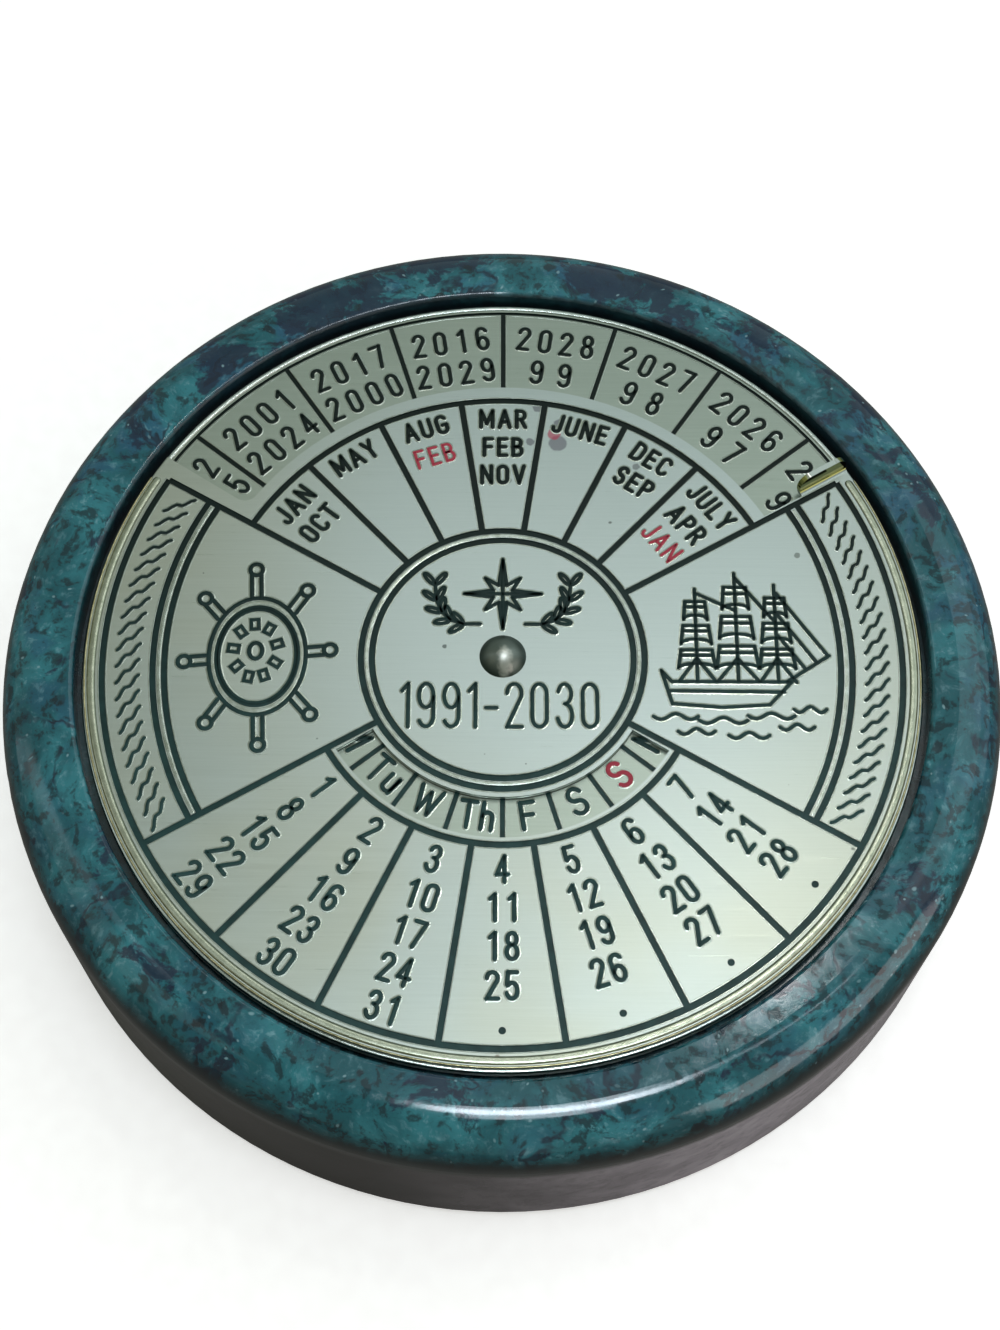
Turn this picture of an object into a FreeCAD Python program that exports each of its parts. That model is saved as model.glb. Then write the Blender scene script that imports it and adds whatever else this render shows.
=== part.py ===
"""Perpetual desk calendar: a round polished stone base with a recess, in which a fixed brass dial of
years and weekdays lies under a brass front plate that turns on a centre rivet.

Millimetres and degrees. +Z is up, and the origin is the centre of the felt's underside. +X points right
and +Y points away from the reader, towards the window of years.
"""
import FreeCAD, Part
import math
import os

import Sketcher
from FreeCAD import Vector

# Driving dimensions: alias, value
SIZES = [
    # Stone base: its radius is the recess's and the rim's width together
    ("rim_width", 7.8),
    ("base_height", 24.4),
    ("base_edge_radius", 5.1),
    ("base_foot_chamfer", 0.8),
    ("recess_gap", 0.7),
    ("recess_lip_radius", 0.4),
    ("rim_rise", 0.4),
    ("pocket_gap", 2.6),
    ("pocket_clearance", 0.6),
    # Felt under the base and tape under the year dial
    ("felt_thickness", 1.0),
    ("felt_inset", 1.8),
    ("tape_thickness", 0.8),
    ("tape_inset", 3.0),
    # Brass dials
    ("dial_radius", 42.0),
    ("year_dial_overhang", 0.3),
    ("front_plate_thickness", 0.55),
    ("year_dial_thickness", 0.9),
    ("edge_round", 0.2),
    # Rivet and washers
    ("rivet_shank_radius", 1.5),
    ("rivet_head_radius", 2.35),
    ("rivet_head_height", 1.5),
    ("rivet_tail_radius", 2.4),
    ("rivet_tail_height", 0.7),
    ("rivet_tail_round", 0.25),
    ("running_clearance", 0.05),
    ("washer_bore_clearance", 0.1),
    ("spacer_radius", 5.5),
    ("spacer_thickness", 0.2),
    ("washer_radius", 4.4),
    ("spring_thickness", 0.3),
    ("spring_rise", 0.4),
    ("spring_land", 0.5),
    ("tail_washer_thickness", 0.5),
    # Cells of the dials
    ("cell_count", 21),
    ("column_count", 7),
    # Openings of the front plate, the notch measured in from the rim
    ("notch_depth", 10.5),
    ("notch_edge_angle", 0.75),
    ("notch_end_angle", 3.0),
    ("notch_corner_radius", 1.4),
    ("window_inner_radius", 15.1),
    ("window_outer_radius", 19.3),
    ("window_end_angle", 1.7),
    # Finger tab bent up at the end of the notch
    ("tab_inset", 0.1),
    ("tab_width", 5.7),
    ("tab_bend_radius", 0.5),
    ("tab_lean_angle", 87),
    ("tab_length", 1.6),
    ("tab_corner_radius", 1.3),
    # Etched lines of the front plate, each measured from the edge or line beside it
    ("line_width", 0.65),
    ("fine_line_width", 0.35),
    ("etch_depth", 0.15),
    ("border_inset", 1.85),
    ("panel_band", 5.05),
    ("panel_ridge", 1.15),
    ("month_inset", 1.65),
    ("window_margin", 0.75),
    ("medallion_inset", 0.85),
    ("medallion_ridge", 1.1),
    ("dot_inset", 1.75),
    ("dot_radius", 0.36),
    ("dot_count", 4),
    # Etched lines of the year dial, hidden just past the openings' edges
    ("year_line_width", 0.5),
    ("year_line_inset", 0.7),
    ("year_line_cover", 0.6),
    ("day_line_cover", 0.3),
]


class Dim:
    """A size with its number, for the first drawing of a sketch, and its formula on the sheet's cells."""

    def __init__(self, value, text):
        self.value = value
        self.text = text

    def join(self, other, sign, result):
        text = other.text if isinstance(other, Dim) else str(other)
        return Dim(result, f"({self.text} {sign} {text})")

    def __add__(self, other):
        return self.join(other, "+", self.value + number(other))

    def __sub__(self, other):
        return self.join(other, "-", self.value - number(other))

    def __mul__(self, other):
        return self.join(other, "*", self.value * number(other))

    def __truediv__(self, other):
        return self.join(other, "/", self.value / number(other))

    def __neg__(self):
        return self * -1


def number(size):
    """The plain number of a size."""
    return size.value if isinstance(size, Dim) else size


VALUES = dict(SIZES)
ZERO = Dim(0, "0")
TURN = Dim(360, "360")


def size(alias):
    """The named cell of the sheet as a size."""
    return Dim(VALUES[alias], f"Sizes.{alias}")


def make_sheet(doc):
    """Write the driving dimensions to the sheet, one alias to a cell."""
    sheet = doc.addObject("Spreadsheet::Sheet", "Sizes")
    for row, (alias, value) in enumerate(SIZES, start=1):
        sheet.set(f"A{row}", alias)
        sheet.set(f"B{row}", str(value))
        sheet.setAlias(f"B{row}", alias)
    doc.recompute()


def bind(target, prop, value):
    """Tie a property to a formula on the sheet, or set it when it is a plain number."""
    if isinstance(value, Dim):
        target.setExpression(prop, value.text)
    else:
        setattr(target, prop, value)


def origin_plane(body, role):
    """A plane of the body's own origin."""
    return next(f for f in body.Origin.OriginFeatures if f.Role == role)


def new_body(doc, label, height=ZERO, turn=ZERO):
    """A body at its height on the centre line, turned about it."""
    body = doc.addObject("PartDesign::Body", label)
    body.Label = label
    body.Placement = FreeCAD.Placement(Vector(), FreeCAD.Rotation(Vector(0, 0, 1), 1))
    bind(body, "Placement.Base.z", height)
    bind(body, "Placement.Rotation.Angle", turn)
    return body


def new_sketch(body, name, role="XY_Plane", height=ZERO, turn=ZERO):
    """A sketch on an origin plane, lifted along the plane's normal and turned about it."""
    sketch = body.newObject("Sketcher::SketchObject", name)
    sketch.AttachmentSupport = [(origin_plane(body, role), "")]
    sketch.MapMode = "FlatFace"
    sketch.AttachmentOffset = FreeCAD.Placement(Vector(), FreeCAD.Rotation(Vector(0, 0, 1), 1))
    bind(sketch, ".AttachmentOffset.Base.z", height)
    bind(sketch, ".AttachmentOffset.Rotation.Angle", turn)
    return sketch


def constrain(sketch, kind, *args, value=None):
    """Add a constraint; one with a size is tied to the sheet."""
    if value is None:
        return sketch.addConstraint(Sketcher.Constraint(kind, *args))
    datum = number(value)
    if kind == "Angle":
        datum = math.radians(datum)
    index = sketch.addConstraint(Sketcher.Constraint(kind, *args, datum))
    bind(sketch, f"Constraints[{index}]", value)
    return index


def add_circle(sketch, radius):
    """A circle about the sketch's origin."""
    index = sketch.addGeometry(Part.Circle(Vector(), Vector(0, 0, 1), number(radius)))
    constrain(sketch, "Coincident", index, 3, -1, 1)
    constrain(sketch, "Radius", index, value=radius)


def circle_sketch(body, name, radii, height=ZERO):
    """Circles about the centre line: one for a disc or hole, two for a ring."""
    sketch = new_sketch(body, name, height=height)
    for radius in radii:
        add_circle(sketch, radius)
    return sketch


def sector_sketch(body, name, inner, outer, start, sweep, height):
    """A ring sector about the centre line, from a start angle through a sweep."""
    sketch = new_sketch(body, name, height=height, turn=start)
    angle = math.radians(number(sweep))
    far = Vector(math.cos(angle), math.sin(angle), 0)
    for radius in (outer, inner):
        circle = Part.Circle(Vector(), Vector(0, 0, 1), number(radius))
        arc = sketch.addGeometry(Part.ArcOfCircle(circle, 0, angle))
        constrain(sketch, "Coincident", arc, 3, -1, 1)
        constrain(sketch, "Radius", arc, value=radius)
    near = Vector(1, 0, 0)
    near_end = sketch.addGeometry(Part.LineSegment(near * number(inner), near * number(outer)))
    far_end = sketch.addGeometry(Part.LineSegment(far * number(inner), far * number(outer)))
    for line, point in ((near_end, 1), (far_end, 2)):
        constrain(sketch, "Coincident", line, 2, 0, point)
        constrain(sketch, "Coincident", line, 1, 1, point)
    constrain(sketch, "PointOnObject", near_end, 1, -1)
    constrain(sketch, "PointOnObject", near_end, 2, -1)
    constrain(sketch, "PointOnObject", -1, 1, far_end)
    constrain(sketch, "Angle", far_end, value=sweep)
    return sketch


def outline_sketch(body, name, points, role="XY_Plane", height=ZERO, turn=ZERO):
    """A closed outline of straight lines through points given as pairs of sizes."""
    sketch = new_sketch(body, name, role, height, turn)
    places = [Vector(number(x), number(y), 0) for x, y in points]
    for index, place in enumerate(places):
        sketch.addGeometry(Part.LineSegment(place, places[(index + 1) % len(places)]))
    for index, (x, y) in enumerate(points):
        constrain(sketch, "Coincident", index - 1 if index else len(points) - 1, 2, index, 1)
        constrain(sketch, "DistanceX", -1, 1, index, 1, value=x)
        constrain(sketch, "DistanceY", -1, 1, index, 1, value=y)
    return sketch


def bar_sketch(body, name, inner, outer, width, angle, height):
    """A straight line of some width along a radius, at an angle."""
    side = width / 2
    points = [(inner, -side), (outer, -side), (outer, side), (inner, side)]
    return outline_sketch(body, name, points, height=height, turn=angle)


def dot_sketch(body, name, distance, radius, angle, height):
    """A small circle at a distance from the centre line, at an angle."""
    sketch = new_sketch(body, name, height=height, turn=angle)
    index = sketch.addGeometry(Part.Circle(Vector(number(distance), 0, 0), Vector(0, 0, 1), number(radius)))
    constrain(sketch, "DistanceX", -1, 1, index, 3, value=distance)
    constrain(sketch, "PointOnObject", index, 3, -1)
    constrain(sketch, "Radius", index, value=radius)
    return sketch


def pad(body, sketch, length):
    """Extrude a sketch along its normal."""
    feature = body.newObject("PartDesign::Pad", sketch.Name + "Pad")
    feature.Profile = sketch
    bind(feature, "Length", length)
    return feature


def pocket(body, sketch, depth):
    """Cut a sketch into the body against the sketch's normal."""
    feature = body.newObject("PartDesign::Pocket", sketch.Name + "Cut")
    feature.Profile = sketch
    bind(feature, "Length", depth)
    return feature


def repeat(body, feature, angle, count):
    """Repeat a cut about the centre line, spread over an angle that both ends take part in."""
    body.Document.recompute()
    pattern = body.newObject("PartDesign::PolarPattern", feature.Name + "Round")
    pattern.Originals = [feature]
    pattern.Axis = (next(f for f in body.Origin.OriginFeatures if f.Role == "Z_Axis"), [""])
    bind(pattern, "Angle", angle)
    bind(pattern, "Occurrences", count)
    body.Tip = pattern
    return pattern


def revolve(body, sketch):
    """Turn a half section about the centre line."""
    feature = body.newObject("PartDesign::Revolution", sketch.Name + "Turned")
    feature.Profile = sketch
    feature.ReferenceAxis = (sketch, ["V_Axis"])
    feature.Angle = number(TURN)
    return feature


def dress(body, kind, base, test, amount):
    """Round or chamfer the edges of a feature that pass a test."""
    body.Document.recompute()
    names = [f"Edge{n}" for n, edge in enumerate(base.Shape.Edges, start=1) if test(edge)]
    if not names:
        raise RuntimeError(f"{body.Label}: no edge found for the {kind}")
    feature = body.newObject(f"PartDesign::{kind}", f"{base.Name}{kind}")
    feature.Base = (base, names)
    bind(feature, "Size" if kind == "Chamfer" else "Radius", amount)
    body.Tip = feature
    return feature


def circle_edge(radius, height):
    """A test for round edges of one radius at one height in the body's own frame."""
    tolerance = number(size("etch_depth")) / 10

    def test(edge):
        if not isinstance(edge.Curve, Part.Circle):
            return False
        near = abs(edge.Curve.Radius - number(radius)) < tolerance
        return near and abs(edge.Curve.Center.z - number(height)) < tolerance

    return test


# Sizes that several pieces share
CELL_ANGLE = TURN / size("cell_count")
SECTOR_ANGLE = CELL_ANGLE * size("column_count")
SIDE_ANGLE = TURN / 2 - SECTOR_ANGLE
YEAR_DIAL_RADIUS = size("dial_radius") + size("year_dial_overhang")
RECESS_RADIUS = YEAR_DIAL_RADIUS + size("recess_gap")
WASHER_BORE = size("rivet_shank_radius") + size("washer_bore_clearance")
PLATE_BORE = size("rivet_shank_radius") + size("running_clearance")
SPRING_HEIGHT = size("spring_rise") + size("spring_thickness")

BASE_RADIUS = RECESS_RADIUS + size("rim_width")
POCKET_RADIUS = size("washer_radius") + size("pocket_gap")

# Radii of edges and lines on the front plate
NOTCH_RADIUS = size("dial_radius") - size("notch_depth")
TAB_OUTER_RADIUS = size("dial_radius") - size("tab_inset")
TAB_INNER_RADIUS = TAB_OUTER_RADIUS - size("tab_width")
BORDER_LINE = size("dial_radius") - size("border_inset")
PANEL_OUTER_LINE = BORDER_LINE - size("panel_band")
PANEL_INNER_LINE = PANEL_OUTER_LINE - size("panel_ridge")
MONTH_LINE = NOTCH_RADIUS - size("month_inset")
WINDOW_LINE = size("window_outer_radius") + size("window_margin")
MEDALLION_OUTER_LINE = size("window_inner_radius") - size("medallion_inset")
MEDALLION_INNER_LINE = MEDALLION_OUTER_LINE - size("medallion_ridge")
DOT_CIRCLE = BORDER_LINE - size("dot_inset")

# Radii of lines on the year dial
YEAR_OUTER_LINE = size("dial_radius") - size("year_line_inset")
YEAR_INNER_LINE = NOTCH_RADIUS - size("year_line_cover")
DAY_OUTER_LINE = size("window_outer_radius") + size("day_line_cover")
DAY_INNER_LINE = size("window_inner_radius") - size("day_line_cover")

# Heights above the felt's underside
RIM_TOP = size("felt_thickness") + size("base_height")
FRONT_TOP = RIM_TOP - size("rim_rise")
FRONT_BOTTOM = FRONT_TOP - size("front_plate_thickness")
YEAR_DIAL_TOP = FRONT_BOTTOM - size("spacer_thickness")
YEAR_DIAL_BOTTOM = YEAR_DIAL_TOP - size("year_dial_thickness")
RECESS_FLOOR = YEAR_DIAL_BOTTOM - size("tape_thickness")
SPRING_BOTTOM = YEAR_DIAL_BOTTOM - SPRING_HEIGHT
TAIL_WASHER_BOTTOM = SPRING_BOTTOM - size("tail_washer_thickness")
TAIL_BOTTOM = TAIL_WASHER_BOTTOM - size("rivet_tail_height")
POCKET_FLOOR = TAIL_BOTTOM - size("pocket_clearance")


def make_marble_base(doc):
    """Turned stone block: rounded upper edge, recess for the dials, pocket for the rivet's tail."""
    body = new_body(doc, "marble_base", size("felt_thickness"))
    top = size("base_height")
    block = pad(body, circle_sketch(body, "Block", [BASE_RADIUS]), top)
    recess = circle_sketch(body, "Recess", [RECESS_RADIUS], top)
    pocket(body, recess, RIM_TOP - RECESS_FLOOR)
    tail = circle_sketch(body, "TailPocket", [POCKET_RADIUS], RECESS_FLOOR - size("felt_thickness"))
    hollow = pocket(body, tail, RECESS_FLOOR - POCKET_FLOOR)
    rounded = dress(body, "Fillet", hollow, circle_edge(BASE_RADIUS, top), size("base_edge_radius"))
    lipped = dress(body, "Fillet", rounded, circle_edge(RECESS_RADIUS, top), size("recess_lip_radius"))
    dress(body, "Chamfer", lipped, circle_edge(BASE_RADIUS, ZERO), size("base_foot_chamfer"))
    return body


def make_felt_pad(doc):
    """Felt disc glued under the stone."""
    body = new_body(doc, "felt_pad")
    radius = BASE_RADIUS - size("felt_inset")
    pad(body, circle_sketch(body, "Felt", [radius]), size("felt_thickness"))
    return body


def make_dial_tape(doc):
    """Ring of foam tape that holds the year dial to the floor of the recess."""
    body = new_body(doc, "dial_tape", RECESS_FLOOR)
    radii = [YEAR_DIAL_RADIUS - size("tape_inset"), POCKET_RADIUS]
    pad(body, circle_sketch(body, "Tape", radii), size("tape_thickness"))
    return body


def etch_ring(body, name, radius, width, top):
    """A full etched circle."""
    sketch = circle_sketch(body, name, [radius + width / 2, radius - width / 2], top)
    return pocket(body, sketch, size("etch_depth"))


def etch_arc(body, name, radius, start, sweep, top):
    """An etched arc that ends square on the radial lines it meets."""
    side = size("line_width") / 2
    sketch = sector_sketch(body, name, radius - side, radius + side, start, sweep, top)
    return pocket(body, sketch, size("etch_depth"))


def etch_bar(body, name, inner, outer, width, angle, top):
    """An etched line along a radius."""
    sketch = bar_sketch(body, name, inner, outer, width, angle, top)
    return pocket(body, sketch, size("etch_depth"))


def make_year_dial(doc):
    """Lower brass dial, fixed in the recess: a ring of year cells and a ring of weekday cells."""
    body = new_body(doc, "year_dial", YEAR_DIAL_BOTTOM)
    top = size("year_dial_thickness")
    disc = pad(body, circle_sketch(body, "Disc", [YEAR_DIAL_RADIUS, PLATE_BORE]), top)
    dress(body, "Fillet", disc, circle_edge(YEAR_DIAL_RADIUS, top), size("edge_round"))
    etch_ring(body, "YearOuterLine", YEAR_OUTER_LINE, size("fine_line_width"), top)
    etch_ring(body, "YearInnerLine", YEAR_INNER_LINE, size("fine_line_width"), top)
    etch_ring(body, "DayOuterLine", DAY_OUTER_LINE, size("fine_line_width"), top)
    etch_ring(body, "DayInnerLine", DAY_INNER_LINE, size("fine_line_width"), top)
    upright = TURN / 4
    width = size("year_line_width")
    year = etch_bar(body, "YearLine", YEAR_INNER_LINE, YEAR_OUTER_LINE, width, upright, top)
    repeat(body, year, TURN, size("cell_count"))
    day = etch_bar(body, "DayLine", DAY_INNER_LINE, DAY_OUTER_LINE, width, -upright, top)
    repeat(body, day, TURN, size("cell_count"))
    return body


def tab_sketch(body, top):
    """Section of the finger tab, square to the notch's end: a bend and a straight leaf."""
    sketch = new_sketch(body, "Tab", "YZ_Plane", height=TAB_INNER_RADIUS)
    thickness = size("front_plate_thickness")
    bend = size("tab_bend_radius")
    lean = math.radians(number(size("tab_lean_angle")))
    centre = Vector(0, number(top + bend), 0)
    along = Vector(math.cos(lean), math.sin(lean), 0)
    across = Vector(math.sin(lean), -math.cos(lean), 0)
    radii = (bend, bend + thickness)
    for radius in radii:
        circle = Part.Circle(centre, Vector(0, 0, 1), number(radius))
        arc = sketch.addGeometry(Part.ArcOfCircle(circle, -math.pi / 2, lean - math.pi / 2))
        constrain(sketch, "Radius", arc, value=radius)
    inner_foot, outer_foot = (centre + across * number(radius) for radius in radii)
    reach = along * number(size("tab_length"))
    inner_leaf = sketch.addGeometry(Part.LineSegment(inner_foot, inner_foot + reach))
    tip = sketch.addGeometry(Part.LineSegment(inner_foot + reach, outer_foot + reach))
    outer_leaf = sketch.addGeometry(Part.LineSegment(outer_foot + reach, outer_foot))
    upper_edge = Vector(0, number(top), 0)
    lower_edge = Vector(0, number(top - thickness), 0)
    root = sketch.addGeometry(Part.LineSegment(upper_edge, lower_edge))
    constrain(sketch, "PointOnObject", 0, 3, -2)
    constrain(sketch, "DistanceY", -1, 1, 0, 3, value=top + bend)
    constrain(sketch, "Coincident", 1, 3, 0, 3)
    constrain(sketch, "Tangent", 0, 2, inner_leaf, 1)
    constrain(sketch, "Coincident", inner_leaf, 2, tip, 1)
    constrain(sketch, "Coincident", tip, 2, outer_leaf, 1)
    constrain(sketch, "Tangent", 1, 2, outer_leaf, 2)
    constrain(sketch, "Parallel", inner_leaf, outer_leaf)
    constrain(sketch, "Perpendicular", inner_leaf, tip)
    constrain(sketch, "Angle", inner_leaf, value=size("tab_lean_angle"))
    constrain(sketch, "Distance", inner_leaf, value=size("tab_length"))
    constrain(sketch, "Coincident", root, 1, 0, 1)
    constrain(sketch, "Coincident", root, 2, 1, 1)
    constrain(sketch, "PointOnObject", root, 1, -2)
    constrain(sketch, "Vertical", root)
    return sketch


def tab_corner(edge):
    """A test for the short edges through the sheet at the two upper corners of the tab."""
    if not isinstance(edge.Curve, Part.Line):
        return False
    thickness = number(size("front_plate_thickness"))
    same_length = abs(edge.Length - thickness) < thickness / 100
    return same_length and edge.CenterOfMass.z > 2 * thickness


def notch_corner(edge):
    """A test for the upright edge at the inner corner of the notch's plain end."""
    if not isinstance(edge.Curve, Part.Line):
        return False
    middle = edge.CenterOfMass
    tolerance = number(size("edge_round"))
    on_radius = abs(math.hypot(middle.x, middle.y) - number(NOTCH_RADIUS)) < tolerance
    upright = abs(edge.tangentAt(edge.FirstParameter).z) > 1 / 2
    return on_radius and upright and middle.x < 0


def make_front_plate(doc):
    """Upper brass plate that turns: notch for the years, window for the weekdays, bent finger tab.

    In the body's own frame the notch's tab end lies along +X.
    """
    tab_angle = TURN / 4 - SECTOR_ANGLE / 2 + size("notch_edge_angle")
    month_start = -size("notch_edge_angle")
    date_start = month_start - SIDE_ANGLE - SECTOR_ANGLE
    body = new_body(doc, "front_plate", FRONT_BOTTOM, tab_angle)
    thickness = size("front_plate_thickness")
    top = thickness
    disc = pad(body, circle_sketch(body, "Disc", [size("dial_radius"), PLATE_BORE]), thickness)
    dress(body, "Fillet", disc, circle_edge(size("dial_radius"), top), size("edge_round"))

    cut_out = size("dial_radius") + size("recess_gap")
    notch_sweep = SECTOR_ANGLE - size("notch_edge_angle") - size("notch_end_angle")
    notch = sector_sketch(body, "Notch", NOTCH_RADIUS, cut_out, ZERO, notch_sweep, top)
    notched = pocket(body, notch, thickness)
    dress(body, "Fillet", notched, notch_corner, size("notch_corner_radius"))
    window_start = date_start + size("window_end_angle")
    window_sweep = SECTOR_ANGLE - size("window_end_angle") * 2
    window = sector_sketch(body, "Window", size("window_inner_radius"), size("window_outer_radius"),
                           window_start, window_sweep, top)
    pocket(body, window, thickness)

    leaf = pad(body, tab_sketch(body, top), size("tab_width"))
    dress(body, "Fillet", leaf, tab_corner, size("tab_corner_radius"))

    etch_ring(body, "MedallionInner", MEDALLION_INNER_LINE, size("line_width"), top)
    etch_ring(body, "MedallionOuter", MEDALLION_OUTER_LINE, size("line_width"), top)
    etch_arc(body, "MonthArc", MONTH_LINE, month_start, SECTOR_ANGLE, top)
    etch_arc(body, "WindowArc", WINDOW_LINE, date_start, SECTOR_ANGLE, top)
    month_end = month_start + SECTOR_ANGLE
    etch_arc(body, "BorderArc", BORDER_LINE, month_end, TURN - SECTOR_ANGLE, top)
    for name, radius in (("PanelInner", PANEL_INNER_LINE), ("PanelOuter", PANEL_OUTER_LINE)):
        side = etch_arc(body, name, radius, month_end, SIDE_ANGLE, top)
        repeat(body, side, TURN / 2, 2)

    lines = size("column_count") + 1
    width = size("line_width")
    month = etch_bar(body, "MonthLine", MEDALLION_OUTER_LINE, MONTH_LINE, width, month_start, top)
    repeat(body, month, SECTOR_ANGLE, lines)
    date = etch_bar(body, "DateLine", WINDOW_LINE, BORDER_LINE, width, date_start, top)
    repeat(body, date, SECTOR_ANGLE, lines)
    day = etch_bar(body, "DaySide", MEDALLION_OUTER_LINE, WINDOW_LINE, width, date_start, top)
    repeat(body, day, SECTOR_ANGLE, 2)
    for name, angle in (("TabSide", month_start), ("PlainSide", month_end)):
        etch_bar(body, name, MONTH_LINE, BORDER_LINE, width, angle, top)
    first_dot = date_start + SECTOR_ANGLE - CELL_ANGLE * size("dot_count") + CELL_ANGLE / 2
    dots = dot_sketch(body, "Dot", DOT_CIRCLE, size("dot_radius"), first_dot, top)
    first = pocket(body, dots, size("etch_depth"))
    repeat(body, first, CELL_ANGLE * (size("dot_count") - 1), size("dot_count"))
    return body


def make_ring(doc, label, height, radius, bore, thickness):
    """A flat washer."""
    body = new_body(doc, label, height)
    pad(body, circle_sketch(body, "Ring", [radius, bore]), thickness)
    return body


def make_spring_washer(doc):
    """Coned spring washer, pressing up on the year dial and down on the tail washer."""
    body = new_body(doc, "spring_washer", SPRING_BOTTOM)
    radius = size("washer_radius")
    land = size("spring_land")
    points = [
        (WASHER_BORE, ZERO),
        (WASHER_BORE + land, ZERO),
        (radius, size("spring_rise")),
        (radius, SPRING_HEIGHT),
        (radius - land, SPRING_HEIGHT),
        (WASHER_BORE, size("spring_thickness")),
    ]
    revolve(body, outline_sketch(body, "Cone", points, "XZ_Plane"))
    return body


def make_center_rivet(doc):
    """Domed rivet: head on the front plate, shank through the stack, tail upset on its washer."""
    body = new_body(doc, "center_rivet", TAIL_BOTTOM)
    tail_height = size("rivet_tail_height")
    head_seat = FRONT_TOP - TAIL_BOTTOM
    tail = pad(body, circle_sketch(body, "Tail", [size("rivet_tail_radius")]), tail_height)
    dress(body, "Fillet", tail, circle_edge(size("rivet_tail_radius"), ZERO), size("rivet_tail_round"))
    pad(body, circle_sketch(body, "Shank", [size("rivet_shank_radius")]), head_seat)

    sketch = new_sketch(body, "Dome", "XZ_Plane")
    radius = size("rivet_head_radius")
    rise = size("rivet_head_height")
    sphere = (radius * radius + rise * rise) / (rise * 2)
    seat = number(head_seat)
    crown = seat + number(rise)
    centre = Vector(0, crown - number(sphere), 0)
    start = math.atan2(seat - centre.y, number(radius))
    circle = Part.Circle(centre, Vector(0, 0, 1), number(sphere))
    arc = sketch.addGeometry(Part.ArcOfCircle(circle, start, math.pi / 2))
    axis = sketch.addGeometry(Part.LineSegment(Vector(0, crown, 0), Vector(0, seat, 0)))
    seating = sketch.addGeometry(Part.LineSegment(Vector(0, seat, 0), Vector(number(radius), seat, 0)))
    constrain(sketch, "Coincident", arc, 2, axis, 1)
    constrain(sketch, "Coincident", axis, 2, seating, 1)
    constrain(sketch, "Coincident", seating, 2, arc, 1)
    constrain(sketch, "PointOnObject", axis, 1, -2)
    constrain(sketch, "PointOnObject", axis, 2, -2)
    constrain(sketch, "PointOnObject", arc, 3, -2)
    constrain(sketch, "Horizontal", seating)
    constrain(sketch, "DistanceY", -1, 1, axis, 2, value=head_seat)
    constrain(sketch, "DistanceX", axis, 2, seating, 2, value=radius)
    constrain(sketch, "DistanceY", axis, 2, axis, 1, value=rise)
    revolve(body, sketch)
    return body


def check_document(doc, bodies):
    """Stop if any object failed, any cut missed its piece or any piece has no valid solid."""
    for item in doc.Objects:
        if "Invalid" in item.State or "Error" in item.State:
            raise RuntimeError(f"{item.Label} failed: {item.State}")
        if item.isDerivedFrom("PartDesign::Pocket"):
            if item.Shape.Volume >= item.BaseFeature.Shape.Volume:
                raise RuntimeError(f"{item.Label} cuts nothing")
    for body in bodies:
        shape = body.Shape
        if shape.isNull() or not shape.isValid() or len(shape.Solids) != 1:
            raise RuntimeError(f"{body.Label} has no single valid solid")


def main():
    doc = FreeCAD.newDocument("PerpetualCalendar")
    make_sheet(doc)
    bodies = [
        make_marble_base(doc),
        make_felt_pad(doc),
        make_dial_tape(doc),
        make_year_dial(doc),
        make_front_plate(doc),
        make_ring(doc, "spacer_washer", YEAR_DIAL_TOP, size("spacer_radius"), WASHER_BORE,
                  size("spacer_thickness")),
        make_spring_washer(doc),
        make_ring(doc, "tail_washer", TAIL_WASHER_BOTTOM, size("washer_radius"), WASHER_BORE,
                  size("tail_washer_thickness")),
        make_center_rivet(doc),
    ]
    doc.recompute()
    check_document(doc, bodies)
    os.makedirs("parts", exist_ok=True)
    for body in bodies:
        body.Shape.exportStep(f"parts/{body.Label}.step")
        box = body.Shape.BoundBox
        print(f"{body.Label}: z {box.ZMin:.2f} to {box.ZMax:.2f}, radius {box.XMax:.2f},"
              f" volume {body.Shape.Volume:.1f}")


main()
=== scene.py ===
"""Dresses the perpetual desk calendar: polished green marble, brushed brass dials with enamel-filled
figures, and the stage it is seen on. Lengths are in metres, and a size in millimetres is times MM.
"""
import bpy
import math
from mathutils import Matrix, Vector


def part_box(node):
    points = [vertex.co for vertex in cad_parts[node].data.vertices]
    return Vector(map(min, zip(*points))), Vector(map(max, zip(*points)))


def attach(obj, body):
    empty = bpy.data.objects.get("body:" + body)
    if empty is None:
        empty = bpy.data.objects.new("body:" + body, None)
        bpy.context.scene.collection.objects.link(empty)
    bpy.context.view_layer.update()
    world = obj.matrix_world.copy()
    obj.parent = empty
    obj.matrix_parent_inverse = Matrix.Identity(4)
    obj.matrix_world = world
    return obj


bl_info = {
    "name": "Perpetual Desk Calendar",
    "version": (1, 0, 0),
    "blender": (4, 5, 0),
    "location": "3D View > Sidebar > Calendar",
    "description": "Enamel figures, ornaments, finishes and stage of a stone desk calendar",
    "category": "Object",
}

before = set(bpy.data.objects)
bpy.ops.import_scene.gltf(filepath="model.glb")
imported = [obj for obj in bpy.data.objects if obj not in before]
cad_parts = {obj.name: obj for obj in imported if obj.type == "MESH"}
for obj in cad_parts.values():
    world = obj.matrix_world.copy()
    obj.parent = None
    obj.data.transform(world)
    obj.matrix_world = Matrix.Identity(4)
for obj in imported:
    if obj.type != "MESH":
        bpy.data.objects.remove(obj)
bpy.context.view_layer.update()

MM = 0.001

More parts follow.
